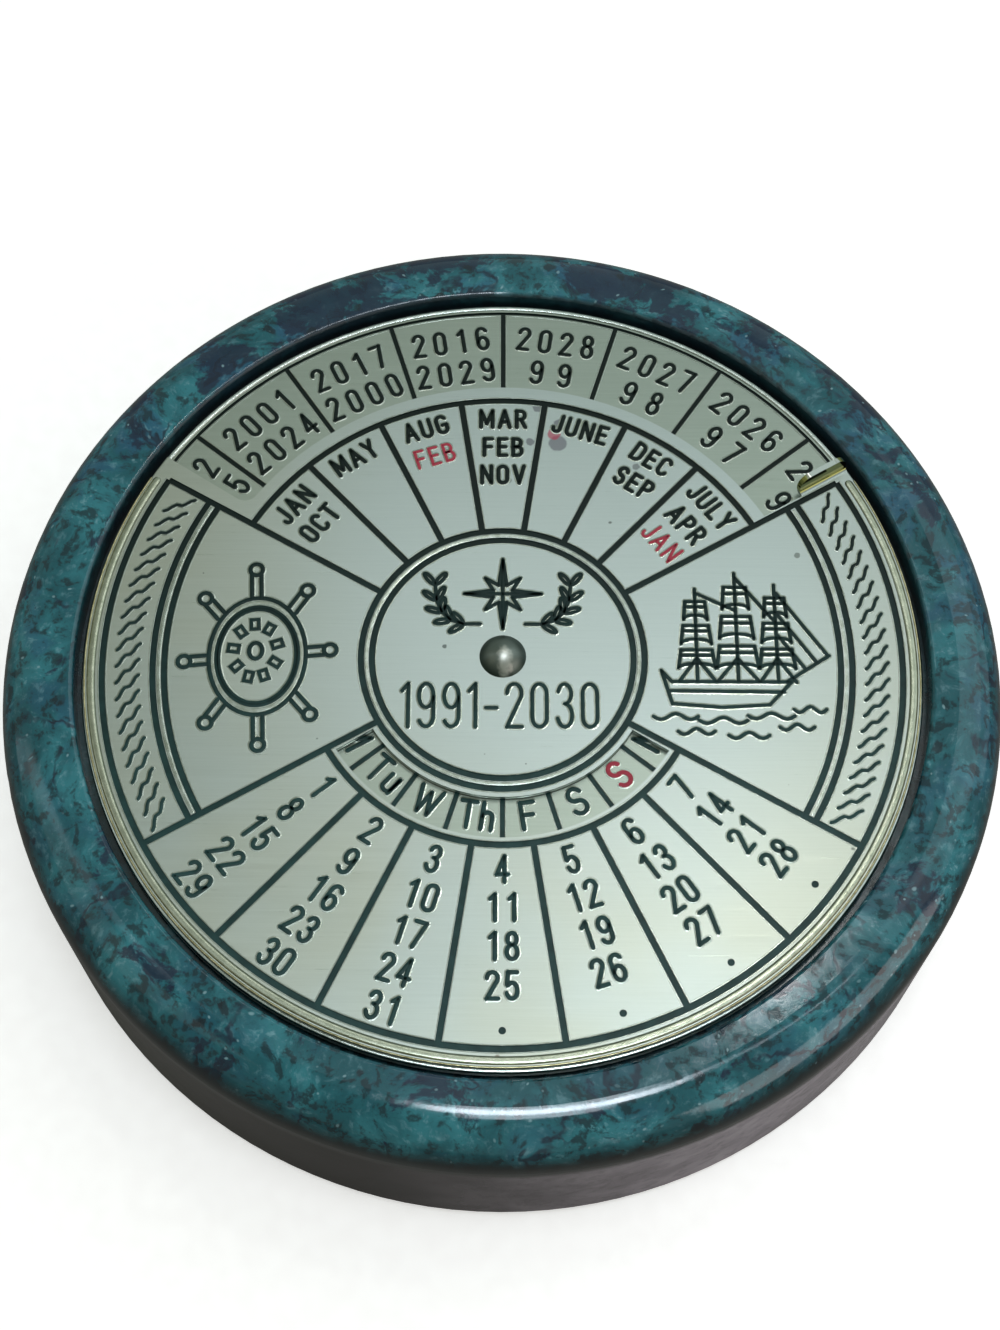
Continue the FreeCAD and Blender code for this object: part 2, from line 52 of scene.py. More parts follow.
# Levels from the frame; the plate's thickness and the radius of the stone's recess are the built ones
PLATE_THICKNESS = 0.55 * MM
PLATE_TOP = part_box("spacer_washer")[1].z + PLATE_THICKNESS
YEAR_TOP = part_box("year_dial")[1].z
LEVELS = {"front": PLATE_TOP, "base": YEAR_TOP}
STONE_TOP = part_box("marble_base")[1].z
RIVET_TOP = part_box("center_rivet")[1].z
TAB_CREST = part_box("front_plate")[1].z
RECESS_RADIUS = 43.0 * MM

# Cells: the dials are divided into 21, and the plate carries 7 of them in each band
CELL = 360 / 21
COLUMNS = 7

# Rows of the front plate and of the year dial, as radii of the middle of each row
MONTH_ROWS = [27.6 * MM, 24.2 * MM, 20.9 * MM]
DATE_FIRST_ROW = 22.5 * MM
DATE_ROW_PITCH = 3.85 * MM
YEAR_ROWS = [38.0 * MM, 34.05 * MM]
DAY_ROW = 16.9 * MM
BAND_ROW = 37.6 * MM

# Months of each column from left to right; a star marks a leap year's month, drawn in red
MONTHS = [
    ["JAN", "OCT"],
    ["MAY"],
    ["AUG", "*FEB"],
    ["MAR", "FEB", "NOV"],
    ["JUNE"],
    ["DEC", "SEP"],
    ["JULY", "APR", "*JAN"],
]

# Years of each cell, going anticlockwise from the one just left of the top
YEARS = [
    ["2016", "2029"], ["2017", "2000"], ["2001", "2024"], ["2002", "2025"], ["2003", "92"],
    ["2004", "93"], ["2010", "94"], ["2011", "2005"], ["2012", "95"], ["2006", "2018"],
    ["2013", "91"], ["2007", "2019"], ["2008", "2030"], ["2014", "2020"], ["2009"],
    ["2021", "2022"], ["2023"], ["2015", "96"], ["2026", "97"], ["2027", "98"], ["2028", "99"],
]

# Weekdays going anticlockwise from the left end of the window; a star marks the one drawn in red
DAYS = ["M", "Tu", "W", "Th", "F", "S", "*S"]


# Properties

def linear(hex_colour):
    """An sRGB hex colour as linear red, green, blue and alpha."""
    parts = [int(hex_colour[i:i + 2], 16) / 255 for i in (0, 2, 4)]
    return tuple(p / 12.92 if p <= 0.04045 else ((p + 0.055) / 1.055) ** 2.4 for p in parts) + (1.0,)


def length(name, description, millimetres):
    """A length property."""
    return bpy.props.FloatProperty(
        name=name, description=description, default=millimetres * MM, unit="LENGTH", precision=5)


def colour(name, description, hex_colour):
    """A colour property."""
    return bpy.props.FloatVectorProperty(
        name=name, description=description, default=linear(hex_colour), subtype="COLOR", size=4,
        min=0.0, max=1.0)


class CalendarSizes(bpy.types.PropertyGroup):
    """Sizes of the figures and ornaments."""
    date_height: length("Date height", "Height of the dates' figures", 3.1)
    date_stroke: length("Date stroke", "Width of the dates' strokes", 0.54)
    date_pitch: length("Date pitch", "Step from one figure of a date to the next", 1.85)
    month_height: length("Month height", "Height of the months' capitals", 2.5)
    month_stroke: length("Month stroke", "Width of the months' strokes", 0.54)
    year_height: length("Year height", "Height of the years' figures", 3.1)
    year_stroke: length("Year stroke", "Width of the years' strokes", 0.52)
    year_pitch: length("Year pitch", "Step from one figure of a year to the next", 2.3)
    short_year_pitch: length("Short year pitch", "Step between the figures of a year with two", 3.0)
    day_height: length("Weekday height", "Height of the weekday letters", 3.25)
    day_stroke: length("Weekday stroke", "Width of the weekday strokes", 0.56)
    span_height: length("Span height", "Height of the figures in the medallion", 5.15)
    span_stroke: length("Span stroke", "Width of the strokes in the medallion", 0.5)
    line_stroke: length("Ornament stroke", "Width of the ornaments' lines", 0.55)
    line_width: length("Line width", "Width of the front plate's etched lines", 0.65)
    year_line_width: length("Year line width", "Width of the lines between the years", 0.5)
    lip_width: length("Lip width", "How far the bright lip of an etched stroke shows beside it", 0.1)
    enamel_rise: length("Enamel rise", "How far the enamel stands proud in its stroke", 0.04)
    lip_rise: length("Lip rise", "How far the lip of a stroke stands proud", 0.016)


class CalendarColours(bpy.types.PropertyGroup):
    """Colours of the finishes."""
    brass: colour("Brass", "Lacquered brass of the dials", "bcc6c2")
    brass_warm: colour("Warm brass", "Brass where the lacquer has yellowed", "bcbaa0")
    enamel: colour("Black enamel", "Fill of the etched lines and figures", "041712")
    # Enamel sheen is painted light: the lighter, greener tone the black enamel is painted towards -Y.
    enamel_worn: colour("Worn enamel", "Black enamel where fingers have rubbed it", "284a48")
    enamel_red: colour("Red enamel", "Fill of the leap year months and of Sunday", "ba3e4f")
    marble: colour("Marble", "Main green of the stone", "0d5a64")
    marble_dark: colour("Dark marble", "Serpentine blotches of the stone", "0a1f3c")
    marble_light: colour("Light marble", "Cloudy parts of the stone", "32838d")
    felt: colour("Felt", "Felt under the base", "1c3a2c")
    floor: colour("Floor", "Paper that the calendar stands on", "f8f2ee")


# Modelling helpers

def deselect():
    """Leave edit mode and select nothing."""
    if bpy.context.mode != "OBJECT":
        bpy.ops.object.mode_set(mode="OBJECT")
    bpy.ops.object.select_all(action="DESELECT")


def polar(radius, degrees):
    """A point at a radius and an angle."""
    return Vector((radius * math.cos(math.radians(degrees)), radius * math.sin(math.radians(degrees))))


ARC_STEP = 20
FINE_ARC_STEP = 8
SWEEP_STEP = 2
SPLIT_TURN = 50
CAP_STEPS = (25, 50, 70, 86)


def arc_points(centre_x, centre_y, radius_x, radius_y, start, end):
    """Points of an elliptic arc, from a start angle to an end angle."""
    step = ARC_STEP if radius_x < 1 else FINE_ARC_STEP
    steps = max(2, round(abs(end - start) / step))
    angles = [math.radians(start + (end - start) * i / steps) for i in range(steps + 1)]
    return [Vector((centre_x + radius_x * math.cos(a), centre_y + radius_y * math.sin(a))) for a in angles]


def trace(items):
    """The line through points (x, y) and arcs (centre x, centre y, radius x, radius y, start, end)."""
    points = []
    for item in items:
        made = [Vector(item)] if len(item) == 2 else arc_points(*item)
        for point in made:
            if not points or (point - points[-1]).length > 1e-6:
                points.append(point)
    return points


def runs(points):
    """Split an open line at its sharp corners, so that each run has round ends there."""
    found = [[points[0]]]
    for index in range(1, len(points)):
        found[-1].append(points[index])
        if index + 1 < len(points):
            turn = (points[index] - points[index - 1]).angle(points[index + 1] - points[index])
            if math.degrees(turn) > SPLIT_TURN:
                found.append([points[index]])
    return found


# Engraver's single-stroke letters in a height of 1: width, then strokes of points and arcs

GLYPHS = {
    "0": (0.40, [[(0.2, 0.78, 0.2, 0.22, 0, 180), (0.2, 0.22, 0.2, 0.22, 180, 360), "close"]]),
    "1": (0.17, [[(0, 0.83), (0.17, 1), (0.17, 0)]]),
    "2": (0.40, [[(0.2, 0.78, 0.2, 0.22, 178, -22), (0, 0), (0.4, 0)]]),
    "3": (0.40, [[(0.2, 0.77, 0.18, 0.23, 165, -90)], [(0.2, 0.27, 0.2, 0.27, 90, -165)]]),
    "4": (0.42, [[(0.29, 0), (0.29, 1), (0, 0.28), (0.42, 0.28)]]),
    "5": (0.40, [[(0.37, 1), (0.05, 1), (0.02, 0.53)], [(0.2, 0.3, 0.2, 0.3, 138, -160)]]),
    "6": (0.40, [[(0.2, 0.28, 0.2, 0.28, 0, 360), "close"], [(0, 0.28), (0.2, 0.76, 0.2, 0.24, 180, 28)]]),
    "7": (0.40, [[(0, 1), (0.4, 1), (0.13, 0)]]),
    "8": (0.40, [[(0.2, 0.77, 0.17, 0.23, 0, 360), "close"], [(0.2, 0.27, 0.2, 0.27, 0, 360), "close"]]),
    "9": (0.40, [[(0.2, 0.72, 0.2, 0.28, 0, 360), "close"], [(0.4, 0.72), (0.2, 0.24, 0.2, 0.24, 0, -152)]]),
    "-": (0.28, [[(0, 0.44), (0.28, 0.44)]]),
    "A": (0.58, [[(0, 0), (0.29, 1), (0.58, 0)], [(0.1, 0.33), (0.48, 0.33)]]),
    "B": (0.48, [[(0, 0), (0, 1)], [(0, 1), (0.22, 0.76, 0.21, 0.24, 90, -90), (0, 0.52)],
                 [(0, 0.52), (0.24, 0.26, 0.24, 0.26, 90, -90), (0, 0)]]),
    "C": (0.48, [[(0.25, 0.74, 0.24, 0.26, 22, 180), (0.25, 0.26, 0.24, 0.26, 180, 338)]]),
    "D": (0.50, [[(0, 0), (0, 1)],
                 [(0, 1), (0.2, 0.7, 0.3, 0.3, 90, 0), (0.2, 0.3, 0.3, 0.3, 0, -90), (0, 0)]]),
    "E": (0.42, [[(0.42, 1), (0, 1), (0, 0), (0.42, 0)], [(0, 0.52), (0.36, 0.52)]]),
    "F": (0.42, [[(0.42, 1), (0, 1), (0, 0)], [(0, 0.52), (0.36, 0.52)]]),
    "G": (0.52, [[(0.26, 0.74, 0.26, 0.26, 28, 180), (0.26, 0.26, 0.26, 0.26, 180, 360), (0.52, 0.46)],
                 [(0.52, 0.46), (0.3, 0.46)]]),
    "J": (0.38, [[(0.38, 1), (0.19, 0.22, 0.19, 0.22, 0, -178)]]),
    "L": (0.38, [[(0, 1), (0, 0), (0.38, 0)]]),
    "M": (0.66, [[(0, 0), (0, 1), (0.33, 0.22), (0.66, 1), (0.66, 0)]]),
    "N": (0.52, [[(0, 0), (0, 1), (0.52, 0), (0.52, 1)]]),
    "O": (0.50, [[(0.25, 0.74, 0.25, 0.26, 0, 180), (0.25, 0.26, 0.25, 0.26, 180, 360), "close"]]),
    "P": (0.46, [[(0, 0), (0, 1)], [(0, 1), (0.22, 0.74, 0.24, 0.26, 90, -90), (0, 0.48)]]),
    "R": (0.48, [[(0, 0), (0, 1)], [(0, 1), (0.22, 0.74, 0.24, 0.26, 90, -90), (0, 0.48)],
                 [(0.24, 0.48), (0.48, 0)]]),
    "S": (0.46, [[(0.23, 0.755, 0.22, 0.245, 22, 270), (0.23, 0.26, 0.23, 0.26, 90, -158)]]),
    "T": (0.48, [[(0, 1), (0.48, 1)], [(0.24, 1), (0.24, 0)]]),
    "U": (0.50, [[(0, 1), (0.25, 0.25, 0.25, 0.25, 180, 360), (0.5, 1)]]),
    "V": (0.54, [[(0, 1), (0.27, 0), (0.54, 1)]]),
    "W": (0.76, [[(0, 1), (0.2, 0), (0.38, 0.85), (0.56, 0), (0.76, 1)]]),
    "Y": (0.50, [[(0, 1), (0.25, 0.48), (0.5, 1)], [(0.25, 0.48), (0.25, 0)]]),
    "h": (0.34, [[(0, 1), (0, 0)], [(0, 0.42), (0.17, 0.46, 0.17, 0.2, 180, 0), (0.34, 0)]]),
    "u": (0.34, [[(0, 0.66), (0.17, 0.18, 0.17, 0.18, 180, 360), (0.34, 0.66)], [(0.34, 0.66), (0.34, 0)]]),
}


def write(text, height, stroke, gap=0.0, pitch=0.0, squeeze=1.0):
    """Strokes of a word centred on the origin, with an even gap between letters or an even pitch."""
    inner = height - stroke
    strokes = []
    pen = 0.0
    for letter in text:
        glyph_width, drawn = GLYPHS[letter]
        outer_width = glyph_width * squeeze * inner + stroke
        start = pen + stroke / 2 + (max(0.0, pitch - outer_width) / 2 if pitch else 0.0)
        for items in drawn:
            closed = items[-1] == "close"
            points = trace(items[:-1] if closed else items)
            placed = [Vector((start + p.x * squeeze * inner, p.y * inner - inner / 2)) for p in points]
            strokes.append((placed, closed))
        pen += pitch or outer_width + gap
    shift = Vector(((pen - gap) / 2, 0))
    return [([p - shift for p in points], closed) for points, closed in strokes]


def turned(strokes, radius, degrees, outward):
    """Strokes moved to a radius and an angle, with their tops away from the centre or towards it."""
    turn = Matrix.Rotation(math.radians(degrees - 90 if outward else degrees + 90), 2)
    place = polar(radius, degrees)
    return [([turn @ p + place for p in points], closed) for points, closed in strokes]


def moved(strokes, x, y):
    """Strokes moved by a step."""
    step = Vector((x, y))
    return [([p + step for p in points], closed) for points, closed in strokes]


def line(*items):
    """One open stroke through points and arcs given in millimetres, with angles in degrees."""
    return ([p * MM for p in trace(items)], False)


def loop(*items):
    """One closed stroke through points and arcs given in millimetres, with angles in degrees."""
    return ([p * MM for p in trace(items)], True)


def ellipse(centre, along, half_length, half_width):
    """One closed stroke round an ellipse with its long axis along a direction, in millimetres."""
    turn = Matrix.Rotation(math.atan2(along.y, along.x), 2)
    points = arc_points(0, 0, half_length, half_width, 0, 360)[:-1]
    return ([(turn @ p + Vector(centre)) * MM for p in points], True)


def cell(inner, outer, start, end, inset):
    """One closed stroke round a cell of a dial, inset from the lines that bound it: radii and inset in
    metres."""
    low, high = inner + inset, outer - inset
    low_cut, high_cut = (math.degrees(math.asin(inset / r)) for r in (low, high))
    steps = max(2, round((end - start) / SWEEP_STEP))
    shares = [i / steps for i in range(steps + 1)]
    near = [polar(low, start + low_cut + (end - start - low_cut * 2) * q) for q in shares]
    far = [polar(high, end - high_cut - (end - start - high_cut * 2) * q) for q in shares]
    return (near + far, True)


def sweep(radius, start, end):
    """One open stroke along a circle: radius in metres."""
    steps = max(2, round(abs(end - start) / SWEEP_STEP))
    return ([polar(radius, start + (end - start) * i / steps) for i in range(steps + 1)], False)


def capped(points, half):
    """Points and radius factors of an open run, with a round end beyond each end point."""
    head = (points[0] - points[1]).normalized()
    tail = (points[-1] - points[-2]).normalized()
    caps = [(math.sin(math.radians(a)) * half, math.cos(math.radians(a))) for a in CAP_STEPS]
    before = [(points[0] + head * reach, factor) for reach, factor in reversed(caps)]
    after = [(points[-1] + tail * reach, factor) for reach, factor in caps]
    return before + [(p, 1.0) for p in points] + after


def bead(name, strokes, width, rise, level, smooth):
    """A mesh of low rounded beads along strokes, half sunk at a level."""
    deselect()
    bpy.ops.curve.primitive_nurbs_path_add()
    piece = bpy.context.object
    piece.name = name
    curve = piece.data
    curve.splines.clear()
    curve.dimensions = "3D"
    curve.twist_mode = "Z_UP"
    curve.bevel_depth = width / 2
    curve.bevel_resolution = 1
    curve.use_fill_caps = True
    for points, closed in strokes:
        for run in ([points] if closed else runs(points)):
            spline = curve.splines.new("POLY")
            laid = [(p, 1.0) for p in run] if closed else capped(run, width / 2)
            spline.points.add(len(laid) - 1)
            for target, (place, factor) in zip(spline.points, laid):
                target.co = (place.x, place.y, 0, 1)
                target.radius = factor
            spline.use_cyclic_u = closed
    bpy.ops.object.convert(target="MESH")
    piece = bpy.context.object
    bpy.ops.transform.resize(value=(1, 1, rise / (width / 2)))
    bpy.ops.transform.translate(value=(0, 0, level))
    bpy.ops.object.transform_apply(location=True, rotation=True, scale=True)
    if smooth:
        bpy.ops.object.shade_smooth()
    else:
        bpy.ops.object.shade_flat()
    return piece


def lay_bead(name, strokes, width, rise, body, finish, smooth=True):
    """A bead on top of a body's dial, in its finish."""
    piece = bead(name, strokes, width, rise, LEVELS[body], smooth)
    coat_with(piece, finish)
    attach(piece, body)


def lay_lip(context, name, strokes, width, body="front"):
    """The bright lip of metal that etching leaves along a stroke: its flat flanks catch the light."""
    rise = context.scene.calendar_sizes.lip_rise
    lay_bead(name, strokes, width, rise, body, bare_brass("etched_lip"), smooth=False)


def lay_enamel(context, name, strokes, width, body="front", finish=None):
    """Enamel strokes, black unless another finish is given, on their lip of bright metal."""
    sizes = context.scene.calendar_sizes
    lay_bead(name, strokes, width, sizes.enamel_rise, body, (finish or black_enamel)(context))
    lay_lip(context, name + "_lip", strokes, width + sizes.lip_width * 2, body)


def coat_with(piece, material):
    """Give a piece one material."""
    piece.data.materials.clear()
    piece.data.materials.append(material)


# Material helpers

def add_node(tree, kind, settings=None, inputs=None):
    """Add a node, set its properties, and fill or link its inputs."""
    node = tree.nodes.new(kind)
    for key, value in (settings or {}).items():
        setattr(node, key, value)
    for key, value in (inputs or {}).items():
        if isinstance(value, bpy.types.NodeSocket):
            tree.links.new(value, node.inputs[key])
        else:
            node.inputs[key].default_value = value
    return node


def start_material(name):
    """An empty node material with its shader and output: the material, its tree and its shader."""
    material = bpy.data.materials.new(name)
    material.use_nodes = True
    tree = material.node_tree
    tree.nodes.clear()
    shader = tree.nodes.new("ShaderNodeBsdfPrincipled")
    output = tree.nodes.new("ShaderNodeOutputMaterial")
    tree.links.new(shader.outputs["BSDF"], output.inputs["Surface"])
    return material, tree, shader


def feed(tree, shader, **values):
    """Set or link inputs of the shader, written with underscores for spaces."""
    for key, value in values.items():
        socket = shader.inputs[key.replace("_", " ")]
        if isinstance(value, bpy.types.NodeSocket):
            tree.links.new(value, socket)
        else:
            socket.default_value = value


def place_coordinates(tree, scale=(1, 1, 1), location=(0, 0, 0)):
    """Object coordinates, moved and stretched."""
    coordinates = add_node(tree, "ShaderNodeTexCoord")
    mapping = add_node(tree, "ShaderNodeMapping", None, {
        "Vector": coordinates.outputs["Object"], "Scale": scale, "Location": location})
    return mapping.outputs["Vector"]


def noise(tree, vector, grain, detail=3.0, roughness=0.5, distortion=0.0):
    """Noise with a grain of a real size: its value."""
    node = add_node(tree, "ShaderNodeTexNoise", None, {
        "Vector": vector, "Scale": 1 / grain, "Detail": detail, "Roughness": roughness,
        "Distortion": distortion})
    return node.outputs["Fac"]


def ramp(tree, value, low, high, start=0.0, end=1.0):
    """A value taken from low to high, smoothly."""
    node = add_node(tree, "ShaderNodeMapRange", {"interpolation_type": "SMOOTHSTEP"}, {
        "Value": value, "From Min": low, "From Max": high, "To Min": start, "To Max": end})
    return node.outputs["Result"]


def blend(tree, share, first, second):
    """A colour between two."""
    node = add_node(tree, "ShaderNodeMix", {"data_type": "RGBA"}, {0: share, 6: first, 7: second})
    return node.outputs[2]


def calculate(tree, operation, first, second):
    """One step of arithmetic."""
    return add_node(tree, "ShaderNodeMath", {"operation": operation}, {0: first, 1: second}).outputs[0]


def times(tree, first, second):
    """The product of two values."""
    return calculate(tree, "MULTIPLY", first, second)


def plus(tree, first, second):
    """The sum of two values."""
    return calculate(tree, "ADD", first, second)


def split(tree, vector):
    """The X, Y and Z of a vector."""
    return add_node(tree, "ShaderNodeSeparateXYZ", None, {"Vector": vector}).outputs


def distance(tree, vector, place=(0, 0, 0)):
    """How far a vector is from a place."""
    node = add_node(tree, "ShaderNodeVectorMath", {"operation": "DISTANCE"}, {0: vector, 1: place})
    return node.outputs["Value"]


def voronoi(tree, vector, step):
    """Cells with a step of a real size: the distance from their middles, and a random value of each."""
    node = add_node(tree, "ShaderNodeTexVoronoi", None, {"Vector": vector, "Scale": 1 / step})
    return node.outputs["Distance"], node.outputs["Color"]


def bump(tree, height, depth, strength=1.0, before=None):
    """A bump of a real depth from a height of 0 to 1."""
    inputs = {"Height": height, "Distance": depth, "Strength": strength}
    if before is not None:
        inputs["Normal"] = before
    return add_node(tree, "ShaderNodeBump", None, inputs).outputs["Normal"]


def once(name, make):
    """A material by its name, made at its first use."""
    return bpy.data.materials.get(name) or make()


# Finishes

def rubbed(tree, place, base_tone, bright_part):
    """Enamel painted a greener, lighter tone towards -Y, where the dates are, in patches: a painted sheen
    for the gloss mirroring the lamps.
    """
    # Painted sheen: lighter towards -Y, broken by patches.
    nearness = ramp(tree, split(tree, place)["Y"], 24 * MM, -22 * MM)
    patch = ramp(tree, noise(tree, place, 1.5 * MM), 0.3, 0.7, 0.6, 1.0)
    return blend(tree, times(tree, nearness, patch), base_tone, bright_part)


def enamel(name, glaze, base_tone, bright_part=None):
    """Baked enamel worked into etched metal: satin, with a slightly uneven surface, and with a painted sheen
    towards -Y when a second tone is given.
    """
    def make():
        material, tree, shader = start_material(name)
        place = place_coordinates(tree)
        patch = noise(tree, place, 1.5 * MM)
        feed(tree, shader, Base_Color=rubbed(tree, place, base_tone, bright_part) if bright_part else base_tone,
             Roughness=ramp(tree, patch, 0.3, 0.7, glaze, glaze + 0.15), Specular_IOR_Level=0.25,
             Normal=bump(tree, noise(tree, place, 0.25 * MM), 0.01 * MM))
        return material
    return once(name, make)


def black_enamel(context):
    """Satin black of the figures and lines, with a painted sheen that makes it greener and lighter towards
    -Y.
    """
    colours = context.scene.calendar_colours
    return enamel("black_baked_enamel", 0.32, colours.enamel[:], colours.enamel_worn[:])


def red_enamel(context):
    """Duller red of the leap years' months and of Sunday."""
    return enamel("red_baked_enamel", 0.4, context.scene.calendar_colours.enamel_red[:])


# Tones of brass without lacquer: the bright lip along an etched stroke, the plate's cut edge, yellower and
# duller than its face, its creamy pressed rim, and the silvery rolled rim of the year dial
BARE_BRASS = {
    "etched_lip": ("c2c9c0", "a8aea0"),
    "stamped_edge": ("cfc6a0", "a89f78"),
    "pressed_rim": ("c4c7b2", "b1b59f"),
    "rolled_rim": ("dfe6e0", "c6cec6"),
}


def bare_brass(part):
    """Smooth brass without lacquer, in two tones that change in small patches."""
    def make():
        material, tree, shader = start_material(name)
        patch = ramp(tree, noise(tree, place_coordinates(tree), 0.8 * MM), 0.3, 0.7)
        bright, dull = (linear(tone) for tone in BARE_BRASS[part])
        feed(tree, shader, Base_Color=blend(tree, patch, bright, dull), Metallic=1.0, Roughness=0.22)
        return material
    name = "bare_brass_" + part
    return once(name, make)


# Brushed brass: the depths below the sheet's face that enamel fills and the radius it stops at, the place
# where the lacquer is freshest, the height at which the tab starts, the size of a scratch, and the step
# between specks
ENAMEL_LINE = 0.03 * MM
ENAMEL_FLOOR = 0.2 * MM
EDGE_RADIUS = 41.65 * MM
FRESH_PLACE = (8 * MM, 12 * MM, 0)
TAB_FOOT = 0.05 * MM
BRUSH_LENGTH = 9 * MM
BRUSH_WIDTH = 0.16 * MM
SPECK_STEP = 6.5 * MM


def brushed_brass(context, name, top, tone, tarnish, yellowing, stains=()):
    """Brushed and lacquered brass sheet: fine scratches along X, enamel in every etched line, yellowed
    lacquer in clouds, small dark specks where moisture got through, stains at given places, and bare
    polished brass where the sheet is bent up into the tab, with a painted highlight along the tab's crest."""
    colours = context.scene.calendar_colours
    material, tree, shader = start_material(name)
    brush = place_coordinates(tree, (1 / BRUSH_LENGTH, 1 / BRUSH_WIDTH, 1 / BRUSH_WIDTH))
    scratch = noise(tree, brush, 1.0, 4.0, 0.65)
    place = place_coordinates(tree)
    flat = place_coordinates(tree, (1, 1, 0))
    cloud = noise(tree, flat, 22 * MM, 2.0)
    yellowed = times(tree, ramp(tree, distance(tree, flat, FRESH_PLACE), 18 * MM, 46 * MM),
                     ramp(tree, cloud, 0.3, 0.6, 0.35, 1.0))
    metal = blend(tree, times(tree, yellowed, yellowing), tone, colours.brass_warm[:])
    metal = blend(tree, ramp(tree, scratch, 0.4, 0.7, 0.0, 0.06), metal, linear("eaf0e8"))
    metal = blend(tree, ramp(tree, scratch, 0.5, 0.25, 0.0, 0.05), metal, linear("8b9384"))

    middle, chance = voronoi(tree, flat, SPECK_STEP)
    speck_size = times(tree, ramp(tree, chance, 0.55, 1.0), 0.045)
    ragged = times(tree, noise(tree, flat, 0.5 * MM), 0.03)
    speck = calculate(tree, "LESS_THAN", plus(tree, middle, ragged), plus(tree, speck_size, 0.008))
    speck = times(tree, speck, tarnish)
    metal = blend(tree, speck, metal, linear("4b4f45"))
    for x, y, radius, tint in stains:
        spread = plus(tree, distance(tree, flat, (x * MM, y * MM, 0)), times(tree, ragged, 12 * MM))
        share = ramp(tree, spread, radius * 1.35 * MM, radius * 1.1 * MM, 0.0, 0.72)
        metal = blend(tree, share, metal, linear(tint))

    height = split(tree, place)["Z"]
    below = calculate(tree, "LESS_THAN", height, top - ENAMEL_LINE)
    above = calculate(tree, "GREATER_THAN", height, top - ENAMEL_FLOOR)
    inside = calculate(tree, "LESS_THAN", distance(tree, flat), EDGE_RADIUS)
    filled = times(tree, times(tree, below, above), inside)
    # The enamel in the grooves carries the same painted sheen towards -Y.
    fill = rubbed(tree, place, colours.enamel[:], colours.enamel_worn[:])
    raised = ramp(tree, height, top + TAB_FOOT, top + TAB_FOOT * 3)
    # Painted highlight: the tab's crest is painted pale, for the light along its top edge.
    crest_highlight = ramp(tree, height, TAB_CREST - 0.12 * MM, TAB_CREST - 0.05 * MM)
    metal = blend(tree, raised, metal, blend(tree, crest_highlight, linear("8c9054"), linear("f2f4ec")))
    rough = plus(tree, ramp(tree, scratch, 0.2, 0.8, 0.27, 0.34), times(tree, speck, 0.25))
    feed(tree, shader,
         Base_Color=blend(tree, filled, metal, fill),
         Metallic=calculate(tree, "SUBTRACT", 1.0, filled),
         Roughness=times(tree, rough, ramp(tree, raised, 0.0, 1.0, 1.0, 0.3)),
         Specular_IOR_Level=calculate(tree, "SUBTRACT", 0.5, times(tree, filled, 0.25)),
         Normal=bump(tree, scratch, 0.012 * MM, 0.07))
    return material


